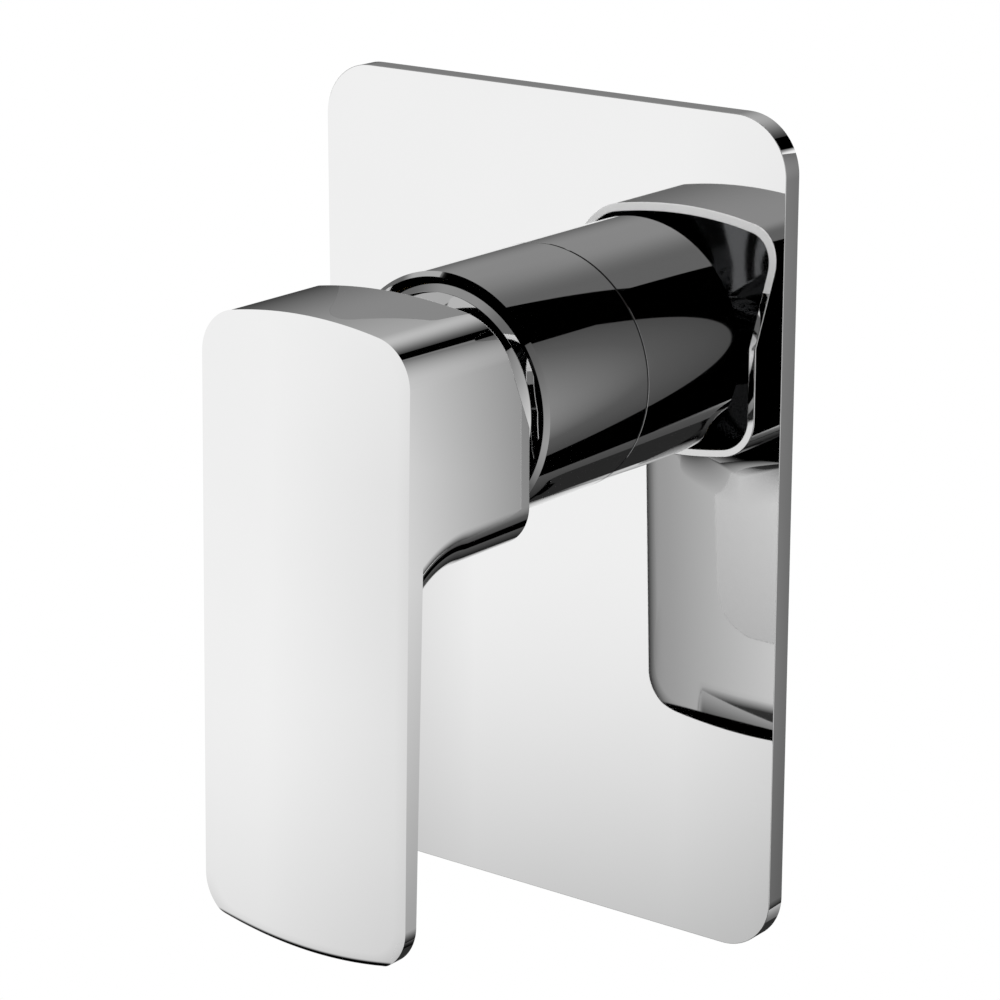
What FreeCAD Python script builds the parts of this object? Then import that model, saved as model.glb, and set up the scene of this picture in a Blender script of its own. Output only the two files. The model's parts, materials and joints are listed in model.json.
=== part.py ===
import FreeCAD, Part
import math
import os

# Concealed single-lever wall mixer: cover plate, barrel, lever and the valve that they hide.
# All lengths in millimetres, angles in degrees.
# Pieces are drawn with the wall lying flat: X right, Y up the wall, Z out of the wall.
# Each is then stood up, so that Z is up and -Y points out of the wall.
# The origin is on the barrel's axis in the plane of the finished wall.

# Valve stack, from the cartridge seat outwards
seat_depth = 6.0
base_height = 8.0
disc_thickness = 3.5
disc_film = 0.05
carrier_height = 6.0
guide_gap = 0.3
guide_plate_thickness = 3.65
roof_thickness = 3.2
pivot_rise = 5.5

# Radii, from the cartridge outwards
cartridge_radius = 17.5
bore_clearance = 0.25
spigot_wall = 1.15
skirt_fit = 0.05
skirt_wall = 1.05
mouth_gap = 1.15
sleeve_wall = 1.35
tube_gap = 0.75

# Cover plate and its gasket
plate_width = 100.0
plate_height = 150.0
plate_depth = 4.0
plate_corner_radius = 10.0
plate_axis_drop = 50.0
plate_face_thickness = 2.0
plate_rim_width = 2.5
plate_edge_radius = 0.4
plate_hole_clearance = 0.3
gasket_width = 6.0
gasket_clearance = 0.3

# Barrel sleeve, dome cap and sleeve rings
sleeve_length = 29.2
sleeve_seam = 0.25
sleeve_chamfer = 0.8
swing_setback = 0.6
ledge_width = 0.93
flange_lip = 0.36
flange_depth = 1.0
flange_slope = 30.0
dome_slope = 53.0
dome_wall = 1.2
dome_hole_clearance = 0.7
spigot_length = 8.0
skirt_clearance = 0.5
groove_depth = 1.25
groove_width = 2.6
ring_fit = 0.02
rear_ring_reach = 8.5
front_ring_reach = 15.5

# Cartridge
fixed_disc_radius = 13.5
moving_disc_radius = 11.4
mix_pocket_radius = 7.0
mix_pocket_depth = 1.8
disc_key_radius = 1.2
disc_key_height = 2.8
key_clearance = 0.1
port_hole_radius = 3.0
port_across = 8.5
inlet_port_drop = 4.0
outlet_port_rise = 7.5
seal_wall = 1.5
seal_height = 1.8
seal_clearance = 0.05
peg_radius = 1.5
peg_length = 2.5
peg_across = 11.5
peg_rise = 6.0
peg_clearance = 0.1
shell_wall = 2.3
guide_side_gap = 0.4
neck_radius = 11.4
neck_fit = 0.05
collar_wall = 1.55
collar_height = 3.5
carrier_half_width = 9.1
rail_gap = 0.3
carrier_socket_floor = 1.2

# Limit ring, guide tab and retaining nut
ring_neck_gap = 0.3
ring_edge_gap = 0.1
ring_height = 2.0
stop_height = 2.0
stop_angle = 16.0
tab_angle = 14.0
tab_gap = 0.3
stop_margin = 1.5
mix_range = 45.0
nut_collar_gap = 0.2
nut_thread_fit = 0.03
nut_thread_length = 4.6
nut_hex_flats = 30.0
nut_hex_height = 3.4

# Lever stem and pivot pin
lift_range = 22.0
stem_width = 8.0
hub_radius = 4.6
hub_side = 0.35
hub_gap = 0.35
slot_clearance = 0.6
arm_radius = 1.9
ball_radius = 2.4
ball_gap = 0.35
ball_socket_clearance = 0.3
pin_radius = 2.0
pin_fit = 0.04
pin_press = 0.01
pin_end_gap = 0.6
pin_cover = 1.6

# Lever handle
handle_gap = 1.18
handle_wall = 1.5
crown_drop = 0.25
heel_drop = 0.7
edge_arc_radius = 87.0
handle_corner_radius = 8.1
rim_gap = 4.6
rim_slant = 23.6
handle_depth = 31.95
front_lean = 1.427
front_wall = 3.7
blade_length = 89.15
blade_root_thickness = 4.2
blade_tip_thickness = 2.95
cove_radius = 10.0
pillow_width = 2.5
pillow_drop = 0.1
tip_skin = 0.05
tip_front_round = 1.6
tip_bevel_height = 3.25
boss_wall = 4.5
boss_gap = 0.9
socket_clearance = 0.05
stem_tip_gap = 0.8
grub_radius = 2.0
grub_fit = 0.01
grub_setback = 5.5
grub_key_flats = 2.0
grub_key_depth = 2.0
access_radius = 2.6
plug_fit = 0.05

# In-wall body
body_depth = 23.0
port_axis_depth = 15.0
port_boss_radius = 12.5
port_thread_radius = 9.315
port_thread_length = 13.0
inlet_across = 14.5
inlet_drop = 36.0
outlet_rise = 34.0
lug_across = 27.0
lug_radius = 6.0
lug_thickness = 4.0
lug_hole_radius = 2.6

# Overrun of every cutting shape past the surface it cuts
overrun = 1.0

# Reaches along the axis, measured out from the wall
base_top = base_height - seat_depth
fixed_disc_top = base_top + disc_thickness
moving_disc_start = fixed_disc_top + disc_film
moving_disc_top = moving_disc_start + disc_thickness
carrier_top = moving_disc_top + carrier_height
guide_start = carrier_top + guide_gap
guide_top = guide_start + guide_plate_thickness
roof_start = guide_top + guide_gap
shoulder_reach = roof_start + roof_thickness
collar_top = shoulder_reach + collar_height
pivot_reach = shoulder_reach + pivot_rise
ring_top = collar_top + ring_height
stop_top = ring_top + stop_height
neck_top = pivot_reach + pin_radius + pin_cover
spigot_start = pivot_reach - spigot_length
sleeve_reach = plate_depth + sleeve_length
swing_base_reach = sleeve_reach - swing_setback

# Radii that follow from each other
bore_radius = cartridge_radius + bore_clearance
spigot_radius = bore_radius + spigot_wall
skirt_inner_radius = spigot_radius + skirt_fit
skirt_radius = skirt_inner_radius + skirt_wall
sleeve_inner_radius = skirt_radius + mouth_gap
sleeve_radius = sleeve_inner_radius + sleeve_wall
tube_radius = sleeve_inner_radius - tube_gap
groove_radius = tube_radius - groove_depth
shell_inner_radius = cartridge_radius - shell_wall
guide_radius = shell_inner_radius - guide_side_gap
collar_inner_radius = neck_radius + neck_fit
collar_radius = collar_inner_radius + collar_wall
limit_ring_inner_radius = neck_radius + ring_neck_gap
limit_ring_radius = collar_radius - ring_edge_gap
nut_inner_radius = collar_radius + nut_collar_gap
nut_thread_radius = bore_radius - nut_thread_fit
ledge_radius = skirt_radius - ledge_width
flange_radius = skirt_radius + flange_lip
flange_reach = sleeve_reach - (flange_radius - ledge_radius) * math.tan(math.radians(flange_slope))
swing_radius = math.hypot(ledge_radius, swing_base_reach - pivot_reach)
dome_radius = ledge_radius / math.sin(math.radians(dome_slope))
dome_centre_reach = sleeve_reach - dome_radius * math.cos(math.radians(dome_slope))
dome_inner_radius = dome_radius - dome_wall
seal_radius = port_hole_radius + seal_wall

# Lever geometry that follows
stem_tilt = lift_range / 2
tilt_sine = math.sin(math.radians(stem_tilt))
tilt_cosine = math.cos(math.radians(stem_tilt))
ball_reach = moving_disc_top + carrier_socket_floor + ball_gap + ball_radius
arm_length = pivot_reach - ball_reach
slide_at_rest = arm_length * tilt_sine
hub_half_width = stem_width / 2 + hub_side
slot_half_width = hub_half_width + hub_gap
slot_half_height = hub_radius + slot_clearance
dome_hole_half_height = stem_width / 2 / tilt_cosine + swing_radius * tilt_sine / tilt_cosine
dome_hole_radius = math.hypot(stem_width / 2, dome_hole_half_height) + dome_hole_clearance
handle_half_width = swing_radius + handle_gap + handle_wall
handle_top = handle_half_width - crown_drop
block_bottom = -handle_half_width - heel_drop
blade_bottom = -blade_length
pillow_radius = (pillow_width ** 2 + pillow_drop ** 2) / (2 * pillow_drop)
rim_reach = sleeve_reach + rim_gap
front_reach = rim_reach + handle_depth
cavity_reach = front_reach - front_wall
boss_start = swing_radius + boss_gap
boss_radius = stem_width / 2 + boss_wall
boss_end = (cavity_reach + front_wall / 2 - pivot_reach) / tilt_cosine - boss_radius * tilt_sine
stem_tip = boss_end - stem_tip_gap
grub_position = boss_start + grub_setback

# Unit directions
RIGHT = FreeCAD.Vector(1, 0, 0)
UP = FreeCAD.Vector(0, 1, 0)
OUT = FreeCAD.Vector(0, 0, 1)
ORIGIN = FreeCAD.Vector(0, 0, 0)


def point(across, rise, reach):
    return FreeCAD.Vector(across, rise, reach)


def rod(radius, start, end, across=0.0, rise=0.0):
    # Round bar along the axis, between two reaches
    return Part.makeCylinder(radius, end - start, point(across, rise, start), OUT)


def tube(radius, inner_radius, start, end, across=0.0, rise=0.0):
    # Round bar with a clear bore
    bore = rod(inner_radius, start - overrun, end + overrun, across, rise)
    return rod(radius, start, end, across, rise).cut(bore)


def upright_rod(radius, low, high, across, reach):
    # Round bar parallel to the wall, running up it
    return Part.makeCylinder(radius, high - low, point(across, low, reach), UP)


def cross_rod(radius, half_length, reach):
    # Round bar parallel to the wall, running across the axis
    return Part.makeCylinder(radius, 2 * half_length, point(-half_length, 0, reach), RIGHT)


def block(half_width, low, high, start, end):
    # Rectangular block, centred across
    return Part.makeBox(2 * half_width, high - low, end - start, point(-half_width, low, start))


def sector(radius, inner_radius, start, end, middle, width):
    # Part of a tube, by the angle of its middle and its angular width
    outer = Part.makeCylinder(radius, end - start, point(0, 0, start), OUT, width)
    piece = outer.cut(rod(inner_radius, start - overrun, end + overrun))
    return piece.rotate(ORIGIN, OUT, middle - width / 2)


def turned(edges):
    # Full turn about the axis of a closed section drawn in the plane across and out
    face = Part.Face(Part.Wire(edges))
    return face.revolve(ORIGIN, OUT, 360)


def line(start, end):
    return Part.makeLine(start, end)


def arc(start, middle, end):
    return Part.Arc(start, middle, end).toShape()


def hexagon(flats, start, end, across=0.0, rise=0.0):
    # Hexagonal bar along the axis, by its width across flats
    corner = flats / 2 / math.cos(math.radians(30))
    turns = [math.radians(60 * side) for side in range(7)]
    ring = [point(across + corner * math.cos(t), rise + corner * math.sin(t), start) for t in turns]
    return Part.Face(Part.makePolygon(ring)).extrude(OUT * (end - start))


def arched_face(grow, top, bottom, reach):
    # Outline of the lever: straight sides, arched ends, round corners; grown all round by a given amount
    half_width = handle_half_width + grow
    radius = edge_arc_radius + grow
    corner = handle_corner_radius + grow
    side = half_width - corner
    rise = math.sqrt((radius - corner) ** 2 - side ** 2)
    stretch = radius / (radius - corner)
    half_turn = math.atan2(rise, side) / 2
    mid_across = side + corner * math.cos(half_turn)
    mid_rise = corner * math.sin(half_turn)
    high = top + grow - radius + rise
    low = bottom - grow + radius - rise
    high_end = top + grow - radius + rise * stretch
    low_end = bottom - grow + radius - rise * stretch
    end_across = side * stretch
    edges = [
        line(point(half_width, low, reach), point(half_width, high, reach)),
        arc(point(half_width, high, reach), point(mid_across, high + mid_rise, reach),
            point(end_across, high_end, reach)),
        arc(point(end_across, high_end, reach), point(0, top + grow, reach),
            point(-end_across, high_end, reach)),
        arc(point(-end_across, high_end, reach), point(-mid_across, high + mid_rise, reach),
            point(-half_width, high, reach)),
        line(point(-half_width, high, reach), point(-half_width, low, reach)),
        arc(point(-half_width, low, reach), point(-mid_across, low - mid_rise, reach),
            point(-end_across, low_end, reach)),
        arc(point(-end_across, low_end, reach), point(0, bottom - grow, reach),
            point(end_across, low_end, reach)),
        arc(point(end_across, low_end, reach), point(mid_across, low - mid_rise, reach),
            point(half_width, low, reach)),
    ]
    return Part.Face(Part.Wire(edges))


def arched_prism(grow, top, bottom, start, end):
    return arched_face(grow, top, bottom, start).extrude(OUT * (end - start))


def side_prism(outline, half_width):
    # Prism across the axis from a closed outline of rise and reach pairs
    corners = [point(-half_width, rise, reach) for rise, reach in outline]
    face = Part.Face(Part.makePolygon(corners + corners[:1]))
    return face.extrude(RIGHT * (2 * half_width))


def rounded_slab(inset, start, end):
    # Slab with the cover plate's outline, set in from its edge
    half_width = plate_width / 2 - inset
    low = plate_axis_drop - plate_height + inset
    high = plate_axis_drop - inset
    slab = block(half_width, low, high, start, end)
    corners = [edge for edge in slab.Edges if edge.tangentAt(edge.FirstParameter).cross(OUT).Length < 0.5]
    return slab.makeFillet(plate_corner_radius - min(inset, plate_corner_radius / 2), corners)


def wall_plate():
    plate = rounded_slab(0.0, 0.0, plate_depth)
    front = [edge for edge in plate.Edges if edge.BoundBox.ZMin > plate_depth - plate_edge_radius / 2]
    plate = plate.makeFillet(plate_edge_radius, front)
    pocket = rounded_slab(plate_rim_width, -overrun, plate_depth - plate_face_thickness)
    hole = rod(tube_radius + plate_hole_clearance, -overrun, plate_depth + overrun)
    return plate.cut(pocket).cut(hole)


def plate_gasket():
    outer_inset = plate_rim_width + gasket_clearance
    height = plate_depth - plate_face_thickness
    outer = rounded_slab(outer_inset, 0.0, height)
    return outer.cut(rounded_slab(outer_inset + gasket_width, -overrun, height + overrun))


def barrel_sleeve():
    # Tube with a fine chamfer where it meets the plate and a wider one round its mouth
    section = [
        point(sleeve_inner_radius, 0, plate_depth),
        point(sleeve_radius - sleeve_seam, 0, plate_depth),
        point(sleeve_radius, 0, plate_depth + sleeve_seam),
        point(sleeve_radius, 0, sleeve_reach - sleeve_chamfer),
        point(sleeve_radius - sleeve_chamfer, 0, sleeve_reach),
        point(sleeve_inner_radius, 0, sleeve_reach),
    ]
    return turned(Part.makePolygon(section + section[:1]).Edges)


def sleeve_o_ring(reach):
    section = (sleeve_inner_radius - groove_radius) / 2 - ring_fit
    middle = (sleeve_inner_radius + groove_radius) / 2
    return Part.makeTorus(middle, section, point(0, 0, reach), OUT)


def dome_cap():
    # Threaded skirt, sloped flange and a shallow dome with a hole that leaves the stem room to move
    def on_dome(radius, across):
        return point(across, 0, dome_centre_reach + math.sqrt(radius ** 2 - across ** 2))

    skirt_start = spigot_start + skirt_clearance
    flange_rear = flange_reach - flange_depth
    halfway = (ledge_radius + dome_hole_radius) / 2
    edges = [
        line(point(skirt_inner_radius, 0, skirt_start), point(skirt_radius, 0, skirt_start)),
        line(point(skirt_radius, 0, skirt_start), point(skirt_radius, 0, flange_rear)),
        line(point(skirt_radius, 0, flange_rear), point(flange_radius, 0, flange_rear)),
        line(point(flange_radius, 0, flange_rear), point(flange_radius, 0, flange_reach)),
        line(point(flange_radius, 0, flange_reach), on_dome(dome_radius, ledge_radius)),
        arc(on_dome(dome_radius, ledge_radius), on_dome(dome_radius, halfway),
            on_dome(dome_radius, dome_hole_radius)),
        line(on_dome(dome_radius, dome_hole_radius), on_dome(dome_inner_radius, dome_hole_radius)),
        arc(on_dome(dome_inner_radius, dome_hole_radius), on_dome(dome_inner_radius, halfway),
            on_dome(dome_inner_radius, skirt_inner_radius)),
        line(on_dome(dome_inner_radius, skirt_inner_radius), point(skirt_inner_radius, 0, skirt_start)),
    ]
    return turned(edges)


def port_places():
    # Cartridge ports: hot, cold, outlet
    return [(-port_across, -inlet_port_drop), (port_across, -inlet_port_drop), (0.0, outlet_port_rise)]


def peg_places():
    return [(side * peg_across, peg_rise) for side in (-1, 1)]


def in_wall_body():
    # Tube for the cartridge, with port bosses behind the wall and two fixing lugs in the wall plane
    body = rod(tube_radius, -body_depth, spigot_start)
    body = body.fuse(rod(spigot_radius, spigot_start - overrun, pivot_reach))
    lug_bar = block(lug_across, -lug_radius, lug_radius, -lug_thickness, 0.0)
    body = body.fuse(lug_bar)
    for side in (-1, 1):
        body = body.fuse(rod(lug_radius, -lug_thickness, 0.0, side * lug_across))
        body = body.fuse(upright_rod(port_boss_radius, -inlet_drop, 0.0,
                                     side * inlet_across, -port_axis_depth))
    body = body.fuse(upright_rod(port_boss_radius, 0.0, outlet_rise, 0.0, -port_axis_depth))
    body = body.cut(rod(bore_radius, -seat_depth, pivot_reach + overrun))
    for reach in (rear_ring_reach, front_ring_reach):
        start = reach - groove_width / 2
        body = body.cut(tube(tube_radius + overrun, groove_radius, start, start + groove_width))
    for side in (-1, 1):
        body = body.cut(rod(lug_hole_radius, -lug_thickness - overrun, overrun, side * lug_across))
        thread_top = port_thread_length - inlet_drop
        body = body.cut(upright_rod(port_thread_radius, -inlet_drop - overrun, thread_top,
                                    side * inlet_across, -port_axis_depth))
        body = body.cut(upright_rod(port_hole_radius, thread_top - overrun, -inlet_port_drop,
                                    side * port_across, -port_axis_depth))
    thread_low = outlet_rise - port_thread_length
    body = body.cut(upright_rod(port_thread_radius, thread_low, outlet_rise + overrun,
                                0.0, -port_axis_depth))
    body = body.cut(upright_rod(port_hole_radius, outlet_port_rise, thread_low + overrun,
                                0.0, -port_axis_depth))
    for across, rise in port_places():
        body = body.cut(rod(port_hole_radius, -port_axis_depth, overrun - seat_depth, across, rise))
    for across, rise in peg_places():
        hole_end = -seat_depth - peg_length - peg_clearance
        body = body.cut(rod(peg_radius + peg_clearance, hole_end, overrun - seat_depth, across, rise))
    return body.removeSplitter()


def cartridge_base():
    base = rod(cartridge_radius, -seat_depth, base_top)
    for across, rise in peg_places():
        base = base.fuse(rod(peg_radius, -seat_depth - peg_length, overrun - seat_depth, across, rise))
    for side in (-1, 1):
        base = base.fuse(rod(disc_key_radius, base_top - overrun, base_top + disc_key_height,
                             side * fixed_disc_radius))
    for across, rise in port_places():
        base = base.cut(rod(port_hole_radius, -seat_depth - overrun, base_top + overrun, across, rise))
        base = base.cut(rod(seal_radius + seal_clearance, -seat_depth - overrun, seal_height - seat_depth,
                            across, rise))
    return base


def port_seal(place):
    across, rise = place
    return tube(seal_radius, port_hole_radius, -seat_depth, seal_height - seat_depth, across, rise)


def fixed_ceramic_disc():
    disc = rod(fixed_disc_radius, base_top, fixed_disc_top)
    for across, rise in port_places():
        disc = disc.cut(rod(port_hole_radius, base_top - overrun, fixed_disc_top + overrun, across, rise))
    for side in (-1, 1):
        disc = disc.cut(rod(disc_key_radius + key_clearance, base_top - overrun, fixed_disc_top + overrun,
                            side * fixed_disc_radius))
    return disc


def moving_ceramic_disc():
    # Stands at the closed end of its slide
    disc = rod(moving_disc_radius, moving_disc_start, moving_disc_top, 0.0, slide_at_rest)
    pocket = rod(mix_pocket_radius, moving_disc_start - overrun, moving_disc_start + mix_pocket_depth,
                 0.0, slide_at_rest)
    return disc.cut(pocket)


def disc_carrier():
    # Flat-sided block on the moving disc, with a socket for the stem's ball
    carrier = rod(moving_disc_radius, moving_disc_top, carrier_top, 0.0, slide_at_rest)
    reach_up = slide_at_rest + moving_disc_radius
    carrier = carrier.common(block(carrier_half_width, slide_at_rest - moving_disc_radius, reach_up,
                                   moving_disc_top, carrier_top))
    socket = rod(ball_radius + ball_socket_clearance, moving_disc_top + carrier_socket_floor,
                 carrier_top + overrun, 0.0, slide_at_rest)
    return carrier.cut(socket)


def cartridge_housing():
    shell = tube(cartridge_radius, shell_inner_radius, base_top, roof_start)
    shell = shell.fuse(tube(cartridge_radius, collar_inner_radius, roof_start, shoulder_reach))
    return shell.fuse(tube(collar_radius, collar_inner_radius, shoulder_reach, collar_top)).removeSplitter()


def rotating_guide():
    # Plate and neck with a slot for the stem, two rails for the carrier and a tab for the end stops
    guide = rod(guide_radius, guide_start, guide_top)
    guide = guide.fuse(rod(neck_radius, guide_start, neck_top))
    rails = rod(guide_radius, moving_disc_top + guide_gap, guide_start + guide_gap)
    rails = rails.cut(block(carrier_half_width + rail_gap, -guide_radius, guide_radius, 0.0, guide_top))
    guide = guide.fuse(rails)
    tab = sector(limit_ring_radius, neck_radius / 2, ring_top + tab_gap, stop_top, 90, tab_angle)
    guide = guide.fuse(tab)
    guide = guide.cut(block(slot_half_width, -slot_half_height, slot_half_height, 0.0, neck_top + overrun))
    return guide.cut(cross_rod(pin_radius + pin_press, neck_radius + overrun, pivot_reach)).removeSplitter()


def pivot_pin():
    return cross_rod(pin_radius, neck_radius - pin_end_gap, pivot_reach)


def temperature_limit_ring():
    ring = tube(limit_ring_radius, limit_ring_inner_radius, collar_top, ring_top)
    swing = mix_range + stop_margin + (tab_angle + stop_angle) / 2
    for side in (-1, 1):
        ring = ring.fuse(sector(limit_ring_radius, limit_ring_inner_radius, collar_top, stop_top,
                                90 + side * swing, stop_angle))
    return ring


def retaining_nut():
    hex_start = shoulder_reach + nut_thread_length
    nut = rod(nut_thread_radius, shoulder_reach, hex_start)
    nut = nut.fuse(hexagon(nut_hex_flats, hex_start, hex_start + nut_hex_height))
    return nut.cut(rod(nut_inner_radius, shoulder_reach - overrun, hex_start + nut_hex_height + overrun))


def tilted(shape):
    # From the stem's own frame, pivot at its origin, to its closed position in the valve
    shape = shape.rotate(ORIGIN, RIGHT, stem_tilt)
    return shape.translate(point(0, 0, pivot_reach))


def stem_bar(half_width, start, end):
    # Square bar along the stem's own axis
    return block(half_width, -half_width, half_width, start, end)


def grub_bar(radius, high, low):
    # Round bar along the grub screw's axis in the stem's frame, downwards
    return Part.makeCylinder(radius, high - low, point(0, high, grub_position), -UP)


def lever_stem():
    stem = cross_rod(hub_radius, hub_half_width, 0.0)
    stem = stem.fuse(stem_bar(stem_width / 2, 0.0, stem_tip))
    stem = stem.fuse(rod(arm_radius, -arm_length, 0.0))
    stem = stem.fuse(Part.makeSphere(ball_radius, point(0, 0, -arm_length)))
    return tilted(stem.cut(cross_rod(pin_radius + pin_fit, hub_half_width + overrun, 0.0)))


def front_at(rise):
    # Reach of the lever's leaning front plane
    return front_reach - rise * math.tan(math.radians(front_lean))


def rear_at(rise):
    # Reach of the blade's rear plane, thinner towards the lower end
    taper = (blade_root_thickness - blade_tip_thickness) / blade_length
    return front_at(rise) - blade_root_thickness - taper * rise


def blade_slab():
    # Leaning wedge, wider than the lever all round
    high = 2 * handle_top
    low = 2 * blade_bottom
    outline = [(high, rear_at(high)), (low, rear_at(low)), (low, front_at(low)), (high, front_at(high))]
    return side_prism(outline, 2 * handle_half_width)


def lever_mass():
    # Block and blade with the hollow curve between them, inside the lever's outline
    core = arched_prism(0.0, handle_top, block_bottom, rim_reach, front_at(handle_top) - pillow_drop)
    joined = core.fuse(blade_slab())
    corner = [edge for edge in joined.Edges if on_block_foot(edge)]
    joined = joined.makeFillet(cove_radius, corner)
    near = rim_reach - overrun
    far = front_at(blade_bottom) + overrun
    return joined.common(arched_prism(0.0, handle_top, blade_bottom, near, far))


def on_block_foot(edge):
    # True for the edges where the block's sides run into the blade's rear plane
    middle = edge.valueAt((edge.FirstParameter + edge.LastParameter) / 2)
    beside = abs(middle.x) < handle_half_width + overrun
    between = block_bottom - overrun < middle.y < handle_top + overrun
    return beside and between and abs(middle.z - rear_at(middle.y)) < overrun / 100


def pillow():
    # Front face that falls away softly towards its edges
    grow = pillow_radius - pillow_width
    shape = arched_prism(grow, handle_top, blade_bottom, -2 * handle_depth, 0.0)
    front = [edge for edge in shape.Edges if edge.BoundBox.ZMin > -overrun]
    shape = shape.makeFillet(pillow_radius, front)
    shape = shape.rotate(ORIGIN, RIGHT, -front_lean)
    return shape.translate(point(0, 0, front_reach))


def tip_crest():
    # Reach of the front face where it starts to round into the lower edge
    fall = pillow_radius - math.sqrt(pillow_radius ** 2 - (pillow_width - tip_front_round) ** 2)
    return front_at(blade_bottom) - fall


def tip_disc():
    # Disc with a rounded front rim that rounds the front of the blade's lower edge
    crest = tip_crest()
    edge_reach = crest - tip_front_round
    diagonal = tip_front_round * math.sqrt(0.5)
    far = crest + overrun
    near = rim_reach - overrun
    radius = edge_arc_radius - tip_skin
    start = radius - tip_front_round
    section = [
        line(point(0, 0, far), point(start, 0, far)),
        line(point(start, 0, far), point(start, 0, crest)),
        arc(point(start, 0, crest), point(start + diagonal, 0, edge_reach + diagonal),
            point(radius, 0, edge_reach)),
        line(point(radius, 0, edge_reach), point(radius, 0, near)),
        line(point(radius, 0, near), point(0, 0, near)),
        line(point(0, 0, near), point(0, 0, far)),
    ]
    return turned(section).translate(point(0, blade_bottom + edge_arc_radius, 0))


def tip_bevel():
    # Cuts the rear of the blade's lower edge back at a slant, straight across
    high = blade_bottom + tip_bevel_height
    low = blade_bottom - overrun
    rear = rear_at(high)
    slope = (tip_crest() - tip_front_round - rear) / tip_bevel_height
    near = rim_reach - overrun
    outline = [(high, rear), (low, rear + slope * (high - low)), (low, near), (high, near)]
    return side_prism(outline, 2 * handle_half_width)


def rim_wedge():
    # Cuts the upper half of the rim back at a slant
    high = 2 * handle_top
    slanted = rim_reach + high * math.tan(math.radians(rim_slant))
    outline = [(0.0, rim_reach), (high, slanted), (high, rim_reach - overrun), (0.0, rim_reach - overrun)]
    return side_prism(outline, 2 * handle_half_width)


def lever_shell():
    # Lever without the access hole: solid blade, hollow block, socket boss for the stem
    shell = lever_mass().common(pillow()).common(tip_disc()).cut(tip_bevel())
    shell = shell.cut(arched_prism(-handle_wall, handle_top, block_bottom, rim_reach - overrun, cavity_reach))
    boss = tilted(rod(boss_radius, boss_start, boss_end))
    shell = shell.fuse(boss)
    shell = shell.cut(rim_wedge())
    half_width = stem_width / 2 + socket_clearance
    socket = stem_bar(half_width, boss_start - overrun, boss_end - socket_clearance)
    return shell.cut(tilted(socket))


def lever_handle(shell):
    thread = tilted(grub_bar(grub_radius + grub_fit, 0.0, -boss_radius - overrun))
    access = tilted(grub_bar(access_radius, -boss_radius, 2 * block_bottom))
    return shell.cut(thread).cut(access).removeSplitter()


def index_plug(shell):
    # Fills the access hole in the lever's lower wall
    return shell.common(tilted(grub_bar(access_radius - plug_fit, -boss_radius - overrun, 2 * block_bottom)))


def grub_screw():
    # Headless screw from the stem's lower flat to the boss surface, with a key recess at its outer end
    screw = grub_bar(grub_radius, -stem_width / 2, -boss_radius)
    key = hexagon(grub_key_flats, 0.0, grub_key_depth + overrun)
    key = key.rotate(ORIGIN, RIGHT, -90)
    key = key.translate(point(0, -boss_radius - overrun, grub_position))
    return tilted(screw.cut(key))


def stand(shape):
    # From the flat wall of the drawing to the upright wall
    return shape.rotate(ORIGIN, RIGHT, 90)


def main():
    hot, cold, outlet = port_places()
    shell = lever_shell()
    pieces = {
        "in_wall_body": in_wall_body(),
        "wall_plate": wall_plate(),
        "plate_gasket": plate_gasket(),
        "barrel_sleeve": barrel_sleeve(),
        "sleeve_o_ring_rear": sleeve_o_ring(rear_ring_reach),
        "sleeve_o_ring_front": sleeve_o_ring(front_ring_reach),
        "dome_cap": dome_cap(),
        "cartridge_base": cartridge_base(),
        "hot_inlet_seal": port_seal(hot),
        "cold_inlet_seal": port_seal(cold),
        "outlet_seal": port_seal(outlet),
        "fixed_ceramic_disc": fixed_ceramic_disc(),
        "cartridge_housing": cartridge_housing(),
        "temperature_limit_ring": temperature_limit_ring(),
        "retaining_nut": retaining_nut(),
        "rotating_guide": rotating_guide(),
        "pivot_pin": pivot_pin(),
        "lever_stem": lever_stem(),
        "lever_handle": lever_handle(shell),
        "grub_screw": grub_screw(),
        "index_plug": index_plug(shell),
        "disc_carrier": disc_carrier(),
        "moving_ceramic_disc": moving_ceramic_disc(),
    }
    os.makedirs("parts", exist_ok=True)
    for name, shape in pieces.items():
        stand(shape).exportStep("parts/" + name + ".step")


main()
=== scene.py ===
"""Concealed single-lever wall mixer: smooth skins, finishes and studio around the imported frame.

Sizes are in millimetres and angles in degrees. Only the curved cards' radius, the lamp, the floor and the
camera's clipping are in metres.
"""

from __future__ import annotations

import json
import logging
import math
from dataclasses import dataclass, field
from enum import Enum, IntEnum
from typing import Any

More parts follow.
